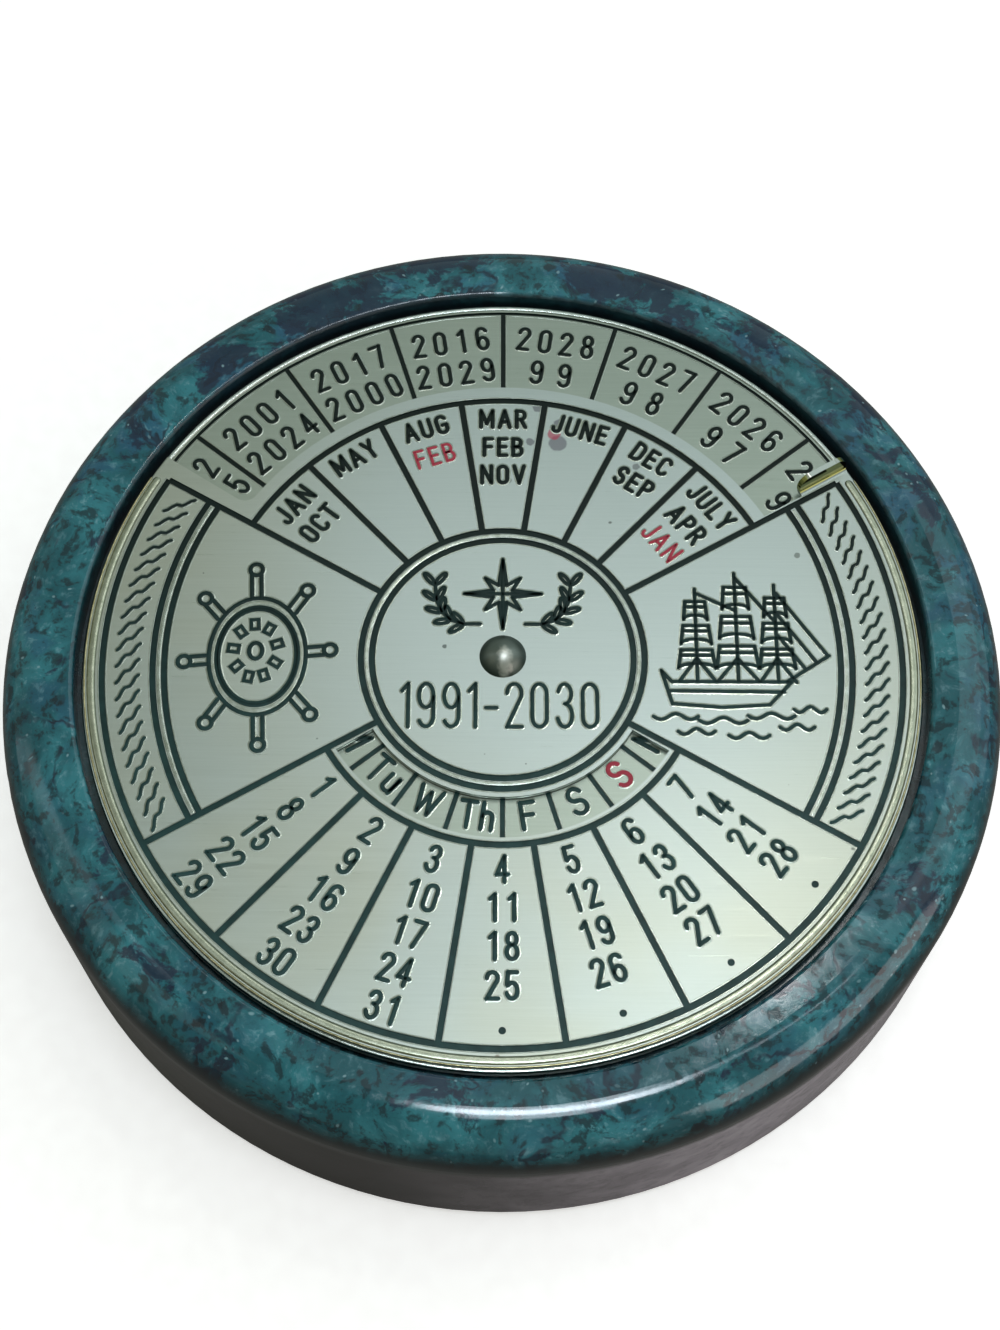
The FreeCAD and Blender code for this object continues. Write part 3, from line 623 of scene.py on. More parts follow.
def polished_marble(context):
    """Polished green serpentine marble: teal body that is bluer towards the back, cloudy mottling, navy
    patches, dark cracks and spots and tiny pale flecks under a glassy polish. Painted shade darkens the rim
    of the recess, more towards the back, and the shoulder, down to near black.
    The waxed side below is browner, and painted lighter towards +X as light falling from that side."""
    colours = context.scene.calendar_colours
    material, tree, shader = start_material("polished_green_marble")
    place = place_coordinates(tree)
    parts = split(tree, place)
    warp = add_node(tree, "ShaderNodeTexNoise", None, {
        "Vector": place, "Scale": 1 / (9 * MM), "Detail": 3.0})
    shift = add_node(tree, "ShaderNodeVectorMath", {"operation": "SCALE"}, {
        0: warp.outputs["Color"], "Scale": 6 * MM})
    bent = add_node(tree, "ShaderNodeVectorMath", {"operation": "ADD"}, {
        0: place, 1: shift.outputs["Vector"]}).outputs["Vector"]
    cloud = noise(tree, bent, 7 * MM, 6.0, 0.6)
    mottle = noise(tree, bent, 1.6 * MM, 5.0, 0.65)
    blue = noise(tree, bent, 6 * MM, 4.0, 0.6)
    stone = blend(tree, ramp(tree, cloud, 0.42, 0.66), colours.marble[:], colours.marble_light[:])
    bluish = times(tree, ramp(tree, blue, 0.5, 0.64, 0.0, 0.65),
                   ramp(tree, parts["Y"], -30 * MM, 30 * MM, 0.35, 1.0))
    stone = blend(tree, bluish, stone, linear("245a7c"))
    stone = blend(tree, ramp(tree, mottle, 0.49, 0.38, 0.0, 0.8), stone, linear("04242d"))
    stone = blend(tree, ramp(tree, mottle, 0.54, 0.72, 0.0, 0.45), stone, linear("74a3ae"))
    grain = times(tree, ramp(tree, noise(tree, bent, 0.8 * MM, 4.0, 0.6), 0.56, 0.7),
                  ramp(tree, cloud, 0.5, 0.62))
    stone = blend(tree, times(tree, grain, 0.55), stone, linear("7fb0ba"))
    dark_cloud = plus(tree, noise(tree, bent, 6.5 * MM, 6.0, 0.66),
                      ramp(tree, parts["Y"], -10 * MM, 44 * MM, -0.016, 0.07))
    stone = blend(tree, ramp(tree, dark_cloud, 0.565, 0.62, 0.0, 0.88), stone, colours.marble_dark[:])
    crack = calculate(tree, "SUBTRACT", noise(tree, bent, 17 * MM, 5.0, 0.55), 0.52)
    crack = ramp(tree, calculate(tree, "ABSOLUTE", crack, 0.0), 0.014, 0.003)
    crack = times(tree, crack, ramp(tree, blue, 0.42, 0.58))
    stone = blend(tree, times(tree, crack, 0.8), stone, linear("081b33"))
    middle, chance = voronoi(tree, bent, 4.2 * MM)
    spot = ramp(tree, plus(tree, middle, times(tree, mottle, 0.35)), 0.36, 0.29)
    spot = times(tree, spot, ramp(tree, chance, 0.45, 0.6))
    stone = blend(tree, times(tree, spot, 0.8), stone, linear("061a26"))
    middle, chance = voronoi(tree, bent, 1.1 * MM)
    fleck = times(tree, ramp(tree, middle, 0.2, 0.08), ramp(tree, chance, 0.6, 0.8))
    stone = blend(tree, times(tree, fleck, 0.6), stone, linear("9fc4cc"))

    reach = distance(tree, place_coordinates(tree, (1, 1, 0)))
    # Painted shade: a dark band at the rim of the recess, stronger towards the back, where the recess lies
    # in shade; the band is also rougher.
    recess_shade = times(tree, ramp(tree, reach, RECESS_RADIUS + 0.45 * MM, RECESS_RADIUS, 0.0, 0.85),
                  ramp(tree, parts["Y"], -20 * MM, 25 * MM, 0.2, 1.0))
    stone = blend(tree, recess_shade, stone, linear("06222b"))
    wavering = plus(tree, parts["Z"], times(tree, cloud, 1.5 * MM))
    # Painted shade: the shoulder darkens to near black as it turns down, away from the light.
    shoulder_shade = ramp(tree, wavering, STONE_TOP - 0.2 * MM, STONE_TOP - 3.2 * MM, 0.0, 0.95)
    stone = blend(tree, shoulder_shade, stone, linear("050a0b"))
    side = ramp(tree, wavering, STONE_TOP - 4.7 * MM, STONE_TOP - 6.6 * MM)
    # Painted light: the side is paler towards +X, where light falls from the right, and darker towards -X.
    right_light = ramp(tree, parts["X"], -18 * MM, 28 * MM)
    dark_side = blend(tree, right_light, linear("181214"), linear("aea5b0"))
    pale_side = blend(tree, right_light, linear("241c1f"), linear("d2c8d4"))
    waxed = blend(tree, ramp(tree, cloud, 0.35, 0.65), dark_side, pale_side)
    waxed = blend(tree, ramp(tree, mottle, 0.5, 0.36, 0.0, 0.2), waxed, linear("2c2529"))
    feed(tree, shader,
         Base_Color=blend(tree, side, stone, waxed),
         Roughness=plus(tree, ramp(tree, mottle, 0.3, 0.7, 0.06, 0.14), times(tree, recess_shade, 0.4)),
         Normal=bump(tree, mottle, 0.02 * MM, 0.4),
         Specular_IOR_Level=ramp(tree, side, 0.0, 1.0, 0.68, 0.15),
         IOR=1.55)
    return material


def pressed_felt(context):
    """Pressed wool felt: matt dark green with short tangled fibres."""
    material, tree, shader = start_material("pressed_wool_felt")
    place = place_coordinates(tree)
    fibre = noise(tree, place, 0.35 * MM, 4.0, 0.8, 1.5)
    tone = context.scene.calendar_colours.felt[:]
    feed(tree, shader, Base_Color=blend(tree, ramp(tree, fibre, 0.35, 0.7), tone, linear("35604a")),
         Roughness=0.95, Normal=bump(tree, fibre, 0.2 * MM), Sheen_Weight=0.4, Sheen_Roughness=0.5)
    return material


# Rivet: how the coordinates are squeezed for its bright patch, partly wear and partly painted highlight, and
# the middle of the patch in them
WEAR_AND_HIGHLIGHT_SQUEEZE = (1.5, 0.75, 0)
WEAR_AND_HIGHLIGHT_PLACE = (0.3 * MM, -0.7 * MM, 0)


def tarnished_brass(context):
    """Turned brass rivet gone grey green, painted darker towards its foot and lighter towards its crown as
    light falls on the dome, with a ragged bright patch off towards -Y that is partly wear and partly painted
    highlight.
    """
    material, tree, shader = start_material("tarnished_turned_brass")
    place = place_coordinates(tree)
    patch = noise(tree, place, 1.4 * MM, 3.0, 0.6)
    # Painted shade and light: the dome is darker towards its foot and lighter towards its crown.
    crown_light = ramp(tree, split(tree, place)["Z"], RIVET_TOP - 1.4 * MM, RIVET_TOP - 0.1 * MM)
    base = blend(tree, crown_light, linear("46504a"), linear("7d857e"))
    # A ragged bright patch off towards -Y: partly wear of the crown, partly painted highlight.
    reach = distance(tree, place_coordinates(tree, WEAR_AND_HIGHLIGHT_SQUEEZE), WEAR_AND_HIGHLIGHT_PLACE)
    ragged = plus(tree, reach, times(tree, noise(tree, place, 0.5 * MM), 1.1 * MM))
    bright_part = ramp(tree, ragged, 2.0 * MM, 1.1 * MM)
    feed(tree, shader, Base_Color=blend(tree, bright_part, base, linear("c2c2b8")), Metallic=1.0,
         Roughness=ramp(tree, patch, 0.3, 0.7, 0.3, 0.42),
         Normal=bump(tree, patch, 0.03 * MM, 0.5))
    return material


def plain_finish(name, low, high, grain, metallic, roughness):
    """A finish of two tones in a fine grain, for the small parts under the dials."""
    material, tree, shader = start_material(name)
    grit = noise(tree, place_coordinates(tree), grain, 4.0, 0.6)
    feed(tree, shader, Base_Color=blend(tree, ramp(tree, grit, 0.3, 0.7), linear(low), linear(high)),
         Metallic=metallic, Roughness=roughness, Normal=bump(tree, grit, 0.02 * MM, 0.5))
    return material


# Operators

class FinishStone(bpy.types.Operator):
    """Polished green marble for the base and felt for its underside"""
    bl_idname = "calendar.finish_stone"
    bl_label = "Finish stone"

    def execute(self, context):
        coat_with(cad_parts["marble_base"], polished_marble(context))
        coat_with(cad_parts["felt_pad"], pressed_felt(context))
        return {"FINISHED"}


# Stains of the front plate: x, y and radius in millimetres, and colour
STAINS = [
    (3.75, 29.1, 0.65, "6c6a72"), (2.85, 24.85, 0.5, "6c6a72"), (6.0, 26.95, 0.7, "6c6a72"),
    (5.75, 24.7, 0.9, "74717a"), (5.35, 25.8, 0.7, "b8475f"), (13.9, 21.9, 0.45, "6f7273"),
    (0.6, 20.2, 0.4, "6a6f6a"), (-5.9, 1.1, 0.32, "3c4440"), (-1.8, -10.6, 0.2, "4a4f48"),
    (2.3, -11.6, 0.2, "4a4f48"), (-30.6, 9.2, 0.22, "4a4f48"), (30.2, 11.6, 0.4, "6a7069"),
    (11.1, 15.3, 0.26, "4a4f48"), (22.6, -8.3, 0.22, "4a4f48"), (-18.3, -9.0, 0.22, "4a4f48"),
    (33.9, -20.3, 0.3, "5a6058"), (-0.4, -40.9, 0.35, "6b5d4c"),
]


# Finishes of what the dials hide: node, name, two tones, grain, metallic and roughness
HIDDEN = [
    ("dial_tape", "white_foam_tape", "c9c7bd", "e4e2da", 0.3 * MM, 0.0, 0.9),
    ("spacer_washer", "vulcanised_fibre", "5a2f22", "7a4432", 0.2 * MM, 0.0, 0.7),
    ("spring_washer", "blued_spring_steel", "3a4250", "59636f", 0.4 * MM, 1.0, 0.35),
    ("tail_washer", "stamped_brass", "9a8550", "b9a468", 0.4 * MM, 1.0, 0.35),
]


class FinishMetal(bpy.types.Operator):
    """Brushed brass for both dials, tarnish for the rivet and plain finishes for what is hidden"""
    bl_idname = "calendar.finish_metal"
    bl_label = "Finish metal"

    def execute(self, context):
        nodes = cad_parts
        brass = context.scene.calendar_colours.brass[:]
        front = brushed_brass(context, "brushed_brass_front", PLATE_TOP, brass, 0.85, 0.55, STAINS)
        coat_with(nodes["front_plate"], front)
        # The year dial's brass is duller and darker than the plate's; part of the darkness is painted shade
        # for the dial lying under the plate.
        years = brushed_brass(context, "brushed_brass_years", YEAR_TOP, linear("a8b2a6"), 0.5, 0.2)
        coat_with(nodes["year_dial"], years)
        coat_with(nodes["center_rivet"], tarnished_brass(context))
        for node, *finish in HIDDEN:
            coat_with(nodes[node], plain_finish(*finish))
        return {"FINISHED"}


class LayYears(bpy.types.Operator):
    """Years in the outer ring of cells of the fixed dial"""
    bl_idname = "calendar.lay_years"
    bl_label = "Lay years"

    def execute(self, context):
        sizes = context.scene.calendar_sizes
        strokes = []
        for index, years in enumerate(YEARS):
            angle = 90 + (index + 0.5) * CELL
            for row, year in zip(YEAR_ROWS, years):
                pitch = sizes.year_pitch if len(year) > 2 else sizes.short_year_pitch
                word = write(year, sizes.year_height, sizes.year_stroke, pitch=pitch)
                strokes += turned(word, row, angle, True)
        lay_enamel(context, "year_figures", strokes, sizes.year_stroke, "base")
        return {"FINISHED"}


class LayWeekdays(bpy.types.Operator):
    """Weekday letters in the inner ring of cells of the fixed dial"""
    bl_idname = "calendar.lay_weekdays"
    bl_label = "Lay weekdays"

    def execute(self, context):
        sizes = context.scene.calendar_sizes
        black, red = [], []
        first = -90 - COLUMNS / 2 * CELL
        for index in range(3 * COLUMNS):
            name = DAYS[index % COLUMNS]
            word = write(name.strip("*"), sizes.day_height, sizes.day_stroke, 0.15 * MM, squeeze=1.1)
            (red if name[0] == "*" else black).extend(turned(word, DAY_ROW, first + index * CELL, False))
        lay_enamel(context, "weekday_letters", black, sizes.day_stroke, "base")
        lay_enamel(context, "sunday_letters", red, sizes.day_stroke, "base", red_enamel)
        return {"FINISHED"}


RED_STROKE_SHARE = 0.76


class LayMonths(bpy.types.Operator):
    """Month names in the cells above the medallion"""
    bl_idname = "calendar.lay_months"
    bl_label = "Lay months"

    def execute(self, context):
        sizes = context.scene.calendar_sizes
        black, red = [], []
        for column, names in enumerate(MONTHS):
            angle = 90 + (COLUMNS // 2 - column) * CELL
            for row, name in zip(MONTH_ROWS, names):
                word = write(name.strip("*"), sizes.month_height, sizes.month_stroke, 0.2 * MM, squeeze=0.94)
                (red if name[0] == "*" else black).extend(turned(word, row, angle, True))
        lay_enamel(context, "month_names", black, sizes.month_stroke)
        thin = sizes.month_stroke * RED_STROKE_SHARE
        lay_enamel(context, "leap_month_names", red, thin, finish=red_enamel)
        return {"FINISHED"}


class LayDates(bpy.types.Operator):
    """Dates 1 to 31 in the cells below the weekday window"""
    bl_idname = "calendar.lay_dates"
    bl_label = "Lay dates"

    def execute(self, context):
        sizes = context.scene.calendar_sizes
        strokes = []
        for date in range(1, 32):
            column = (date - 1) % COLUMNS
            row = (date - 1) // COLUMNS
            word = write(str(date), sizes.date_height, sizes.date_stroke, pitch=sizes.date_pitch)
            angle = -90 + (column - COLUMNS // 2) * CELL
            strokes += turned(word, DATE_FIRST_ROW + row * DATE_ROW_PITCH, angle, False)
        lay_enamel(context, "date_figures", strokes, sizes.date_stroke)
        return {"FINISHED"}


SPAN_PLACE = (-0.3 * MM, -5.35 * MM)
STAR_STROKE_SHARE = 0.9


class LayMedallion(bpy.types.Operator):
    """Span of years, and a compass star between two laurel sprigs, in the medallion round the rivet"""
    bl_idname = "calendar.lay_medallion"
    bl_label = "Lay medallion"

    def execute(self, context):
        sizes = context.scene.calendar_sizes
        word = write("1991-2030", sizes.span_height, sizes.span_stroke, 0.56 * MM, squeeze=0.78)
        lay_enamel(context, "span_figures", moved(word, *SPAN_PLACE), sizes.span_stroke)
        lay_enamel(context, "compass_star", compass_star(), sizes.line_stroke * STAR_STROKE_SHARE)
        return {"FINISHED"}


# Compass star and laurel sprigs, in millimetres
STAR_HEIGHT = 7.0
STAR_LONG = 3.9
STAR_SHORT = 2.5
STAR_WAIST = 1.05
SPRIG_START = (2.3, 3.6)
SPRIG_BEND = (6.9, 3.0)
SPRIG_END = (6.9, 8.0)
SPRIG_LEAVES = 5
LEAF_LENGTH = 0.8
LEAF_WIDTH = 0.24
LEAF_REACH = 0.9
LEAF_TURN = 40


def compass_star():
    """An eight-pointed star between two laurel sprigs, in the upper half of the medallion."""
    points = []
    for index in range(16):
        if index % 2:
            reach = STAR_WAIST
        else:
            reach = STAR_SHORT if index % 4 else STAR_LONG
        place = polar(reach, 90 + index * 22.5)
        points.append((place.x, STAR_HEIGHT + place.y))
    strokes = [line(*points, points[0])]
    strokes += [line((0, STAR_HEIGHT), points[index]) for index in range(0, 16, 4)]
    for side in (-1, 1):
        start, bend, end = (Vector((side * x, y)) for x, y in (SPRIG_START, SPRIG_BEND, SPRIG_END))
        stem = []
        for index in range(SPRIG_LEAVES + 1):
            share = index / SPRIG_LEAVES
            place = start * (1 - share) ** 2 + bend * 2 * share * (1 - share) + end * share ** 2
            along = ((bend - start) * (1 - share) + (end - bend) * share).normalized()
            stem.append(tuple(place))
            for flank in (-1, 1):
                if index == 0:
                    continue
                lean = Matrix.Rotation(math.radians(flank * LEAF_TURN), 2) @ along
                strokes.append(ellipse(place + lean * LEAF_REACH, lean, LEAF_LENGTH, LEAF_WIDTH))
        strokes.append(line(*stem))
    return strokes


# Ship's wheel, in millimetres
WHEEL_CENTRE = Vector((-24.65, -0.05))
WHEEL_SQUEEZE = 0.755
WHEEL_RIMS = (6.45, 5.42, 5.2)
WHEEL_RIDGE = 5.95
WHEEL_RIDGE_WIDTH = 0.42
HUB_STEP = Vector((-0.18, 0.55))
HUB_RADIUS = 0.88
SLOT_REACH = 2.95
SLOT_LENGTH = 0.52
SLOT_WIDTH = 0.38
SLOT_STROKE_SHARE = 1.15
SLOTS = 9
SLOT_TURN = 15
HANDLES = 8
HANDLE_TURN = 4
HANDLE_START = 6.7
HANDLE_REACH = 9.7
HANDLE_WIDTH = 0.48
KNOB_RADIUS = 0.64


def on_wheel(reach, degrees):
    """A point of the slanted wheel, from its centre."""
    place = polar(reach, degrees)
    return Vector((place.x * WHEEL_SQUEEZE, place.y))


def wheel_rim(reach):
    """One closed stroke round the slanted wheel."""
    return ellipse(WHEEL_CENTRE, Vector((0, 1)), reach, reach * WHEEL_SQUEEZE)


def ship_wheel():
    """A ship's wheel seen at a slant: rims, hub and turned handles."""
    strokes = [wheel_rim(reach) for reach in WHEEL_RIMS]
    hub = WHEEL_CENTRE + HUB_STEP
    strokes.append(ellipse(hub, Vector((0, 1)), HUB_RADIUS, HUB_RADIUS * WHEEL_SQUEEZE))
    for index in range(HANDLES):
        degrees = HANDLE_TURN + index * 360 / HANDLES
        foot, knob = (WHEEL_CENTRE + on_wheel(r, degrees) for r in (HANDLE_START, HANDLE_REACH))
        along = (knob - foot).normalized()
        across = Vector((-along.y, along.x)) * HANDLE_WIDTH
        strokes.append(ellipse(knob, along, KNOB_RADIUS, KNOB_RADIUS))
        for flank in (-1, 1):
            strokes.append(line(foot + across * flank, knob - along * KNOB_RADIUS + across * flank))
    return strokes


def wheel_slots():
    """The ring of pierced slots round the wheel's hub."""
    slots = []
    hub = WHEEL_CENTRE + HUB_STEP
    for index in range(SLOTS):
        centre = hub + on_wheel(SLOT_REACH, SLOT_TURN + index * 360 / SLOTS)
        along = (centre - hub).normalized()
        across = Vector((-along.y, along.x)) * SLOT_WIDTH
        ends = (centre - along * SLOT_LENGTH, centre + along * SLOT_LENGTH)
        slots.append(loop(ends[0] - across, ends[0] + across, ends[1] + across, ends[1] - across))
    return slots


class LayWheel(bpy.types.Operator):
    """Ship's wheel in the left panel"""
    bl_idname = "calendar.lay_wheel"
    bl_label = "Lay wheel"

    def execute(self, context):
        stroke = context.scene.calendar_sizes.line_stroke
        lay_enamel(context, "ship_wheel", ship_wheel(), stroke)
        lay_enamel(context, "wheel_slots", wheel_slots(), stroke * SLOT_STROKE_SHARE)
        lay_lip(context, "wheel_ridge", [wheel_rim(WHEEL_RIDGE)], WHEEL_RIDGE_WIDTH * MM)
        return {"FINISHED"}


# Ship, in millimetres. Masts: x, top, and the half width that yards and shrouds take their share of.
# Forestays: top, and how far along the bowsprit they end. Waves: middle and half length.
DECK = -2.7
MASTS = [(19.5, 7.6, 3.0), (23.6, 9.4, 3.4), (27.6, 8.1, 2.9)]
SAILS = 3
SAIL_FOOT = DECK + 1.5
SAIL_HEIGHT_SHARE = 0.74
SAIL_BELLY = 0.5
REEF_SHARE = 0.3
YARD_SHARE = 0.62
YARD_TAPER = 0.11
HEAD_SHARE = 0.84
MASTHEAD = 0.7
SHROUD_HEIGHT = 2.6
STAY_START = 0.4
STAY_DROP = 4.2
FOREMAST = 27.8
SPRIT_START = (28.6, DECK + 0.2)
SPRIT_STEP = (4.1, 2.7)
FORESTAYS = [(7.2, 1.0), (4.8, 0.72), (2.4, 0.44)]
STERN = (15.9, DECK + 1.2)
BOW = (28.9, DECK)
HULL = [[(28.4, DECK), (32.8, 0.2)], [STERN, (16.9, DECK), BOW],
        [STERN, (16.9, -5.1), (21.9, -5.5), (26.6, -5.2), BOW], [(16.7, -3.7), (28.1, -3.8)]]
WAVES = [(17.2, -6.5, 2.2), (21.9, -6.9, 2.4), (26.7, -6.4, 2.3), (30.6, -5.7, 1.6),
         (19.2, -8.1, 1.8), (24.4, -8.5, 2.0), (29.2, -7.6, 1.7)]
WAVE_HEIGHT = 0.32
WAVE_POINTS = 6


def sail(mast, foot, head, half_foot, half_head):
    """A square sail on its yard: straight head, sloped sides, a reef line and a bellied foot."""
    belly = (mast, foot, half_foot, SAIL_BELLY, 180, 0)
    reef = head - (head - foot) * REEF_SHARE
    half_reef = half_head + (half_foot - half_head) * REEF_SHARE
    return [line((mast - half_head, head), (mast - half_foot, foot), belly, (mast + half_foot, foot),
                 (mast + half_head, head), (mast - half_head, head)),
            line((mast - half_reef, reef), (mast + half_reef, reef))]


def wave(x, y, reach):
    """A swell of one and a half waves."""
    places = [(x + reach * part / WAVE_POINTS, y + WAVE_HEIGHT * math.cos(part * math.pi / 4))
              for part in range(-WAVE_POINTS, WAVE_POINTS + 1)]
    return line(*places)


def sailing_ship():
    """A three-masted ship on the sea: masts, square sails, shrouds, stays, bowsprit, hull and waves."""
    strokes = []
    for mast, top, half in MASTS:
        strokes.append(line((mast, DECK), (mast, top)))
        step = (top - MASTHEAD - SAIL_FOOT) / SAILS
        for level in range(SAILS):
            foot = SAIL_FOOT + step * level
            wide = half * (YARD_SHARE - YARD_TAPER * level)
            strokes += sail(mast, foot, foot + step * SAIL_HEIGHT_SHARE, wide, wide * HEAD_SHARE)
        for side in (-1, 1):
            strokes.append(line((mast + side * half * YARD_SHARE, DECK), (mast, DECK + SHROUD_HEIGHT)))
    for (mast, top, _), (other, reach, _) in zip(MASTS, MASTS[1:]):
        strokes.append(line((mast, top - STAY_START), (other, reach - STAY_DROP)))
    for top, along in FORESTAYS:
        end = tuple(start + step * along for start, step in zip(SPRIT_START, SPRIT_STEP))
        strokes.append(line((FOREMAST, top), end))
    strokes += [line(*points) for points in HULL]
    strokes += [wave(*place) for place in WAVES]
    return strokes


SHIP_STROKE_SHARE = 0.88


class LayShip(bpy.types.Operator):
    """Sailing ship in the right panel"""
    bl_idname = "calendar.lay_ship"
    bl_label = "Lay ship"

    def execute(self, context):
        stroke = context.scene.calendar_sizes.line_stroke * SHIP_STROKE_SHARE
        lay_enamel(context, "sailing_ship", sailing_ship(), stroke)
        return {"FINISHED"}


# Etched lines of the front plate and of the year dial, as radii
MEDALLION_LINES = (13.15 * MM, 14.25 * MM)
WINDOW_LINE = 20.05 * MM
MONTH_LINE = 29.85 * MM
PANEL_LINES = (33.95 * MM, 35.1 * MM)
BORDER_LINE = 40.15 * MM
YEAR_LINES = (30.9 * MM, 41.3 * MM)
DAY_LINES = (14.8 * MM, 19.6 * MM)
PANEL_SWEEP = 60
EDGE_BEAD = 0.12 * MM
RIDGE_WIDTH = 0.4 * MM

# Rims of the dials: piece, radius, width, rise, body and kind of bare brass
RIMS = [
    ("year_dial_edge", 41.97 * MM, 0.62 * MM, 0.08 * MM, "base", "rolled_rim"),
    ("front_plate_edge", 41.9 * MM, 0.22 * MM, 0.08 * MM, "front", "stamped_edge"),
    ("front_plate_rim", 41.25 * MM, 0.85 * MM, 0.05 * MM, "front", "pressed_rim"),
]


class LayLips(bpy.types.Operator):
    """Bright lips along the etched lines, ridges between the double lines, and rims of both dials"""
    bl_idname = "calendar.lay_lips"
    bl_label = "Lay lips"

    def execute(self, context):
        sizes = context.scene.calendar_sizes
        inset = sizes.line_width / 2 + EDGE_BEAD / 2
        left, right = 90 + COLUMNS / 2 * CELL, 90 - COLUMNS / 2 * CELL
        lips = [cell(MEDALLION_LINES[1], WINDOW_LINE, left + PANEL_SWEEP, right + 360 - PANEL_SWEEP, inset)]
        for index in range(COLUMNS):
            start = right + index * CELL
            lips.append(cell(MEDALLION_LINES[1], MONTH_LINE, start, start + CELL, inset))
            lips.append(cell(WINDOW_LINE, BORDER_LINE, start + 180, start + 180 + CELL, inset))
        panels = [(start, start + PANEL_SWEEP) for start in (left, right - PANEL_SWEEP)]
        for ends in panels:
            lips.append(cell(MEDALLION_LINES[1], PANEL_LINES[0], *ends, inset))
            lips.append(cell(PANEL_LINES[1], BORDER_LINE, *ends, inset))
        lips.append(sweep(BORDER_LINE + inset, left, right + 360))
        lips.append(sweep(MONTH_LINE + inset, right + 1, left - 1))
        lips.append(sweep(MEDALLION_LINES[0] - inset, 0, 360))
        lay_lip(context, "front_line_lips", lips, EDGE_BEAD)
        ridges = [sweep(sum(MEDALLION_LINES) / 2, 0, 360)]
        ridges += [sweep(sum(PANEL_LINES) / 2, start + 1, end - 1) for start, end in panels]
        lay_lip(context, "front_ridges", ridges, RIDGE_WIDTH)
        year_inset = sizes.year_line_width / 2 + EDGE_BEAD / 2
        year_lips = []
        for index in range(3 * COLUMNS):
            start = 90 + index * CELL
            year_lips.append(cell(*YEAR_LINES, start, start + CELL, year_inset))
            year_lips.append(cell(*DAY_LINES, start + 180, start + 180 + CELL, year_inset))
        lay_lip(context, "year_line_lips", year_lips, EDGE_BEAD, "base")
        for name, radius, width, rise, body, part in RIMS:
            ends = (0, 360) if body == "base" else (left + 1, right + 359)
            lay_bead(name, [sweep(radius, *ends)], width, rise, body, bare_brass(part))
        return {"FINISHED"}


ROPE_STRANDS = 21
ROPE_SWEEP = 54
ROPE_HALF = 1.1 * MM
ROPE_LEAN = 1.9
ROPE_POINTS = 4
ROPE_STROKE_SHARE = 0.8


class LayRope(bpy.types.Operator):
    """Twisted rope pattern in the curved bands at both sides"""
    bl_idname = "calendar.lay_rope"
    bl_label = "Lay rope"

    def execute(self, context):
        strokes = []
        for middle in (0, 180):
            for index in range(ROPE_STRANDS):
                angle = middle + ROPE_SWEEP * (index / (ROPE_STRANDS - 1) - 0.5)
                points = []
                for part in range(-ROPE_POINTS, ROPE_POINTS + 1):
                    share = part / ROPE_POINTS
                    lean = ROPE_LEAN * math.sin(share * math.pi / 2) ** 3
                    points.append(polar(BAND_ROW + ROPE_HALF * share, angle + lean))
                strokes.append((points, False))
        stroke = context.scene.calendar_sizes.line_stroke * ROPE_STROKE_SHARE
        lay_enamel(context, "rope_bands", strokes, stroke)
        return {"FINISHED"}


# Stage: the photograph's camera, in the frame of the object

CAMERA_PLACE = (-1.31 * MM, -92.15 * MM, 225.1 * MM)
CAMERA_TURN = (0.42762, -0.00604, 0.00193)
CAMERA_LENS = 59.36
FLOOR_SIZE = 3.0

# Lamps: name, place, size, power in watts and colour
LAMPS = [
    ("right_softbox", (0.72, 0.3, 0.8), (0.9, 0.9), 0.8, "f4fbff"),
    ("left_softbox", (-0.75, -0.1, 0.7), (0.7, 0.7), 0.3, "fff6e8"),
    ("ceiling_panel", (0.055, -0.1, 1.15), (0.2, 0.36), 1.2, "e8f4ff"),
    ("ceiling_tube", (0.07, -0.06, 1.14), (0.3, 0.1), 1.2, "e8f4ff"),
    ("ceiling_strip", (0.36, 0.0, 1.1), (0.34, 0.03), 0.1, "e8f4ff"),
    ("window_glow_low", (0.117, 0.225, 0.83), (0.05, 0.05), 0.16, "ffffff"),
    ("window_glow_left", (-0.03, 0.39, 0.83), (0.1, 0.1), 0.06, "ffffff"),
    ("window_glow_right", (0.15, 0.39, 0.83), (0.1, 0.1), 0.03, "ffffff"),
    ("warm_bounce", (0.55, -0.38, 0.2), (0.35, 0.6), 0.9, "fff0ee"),
]


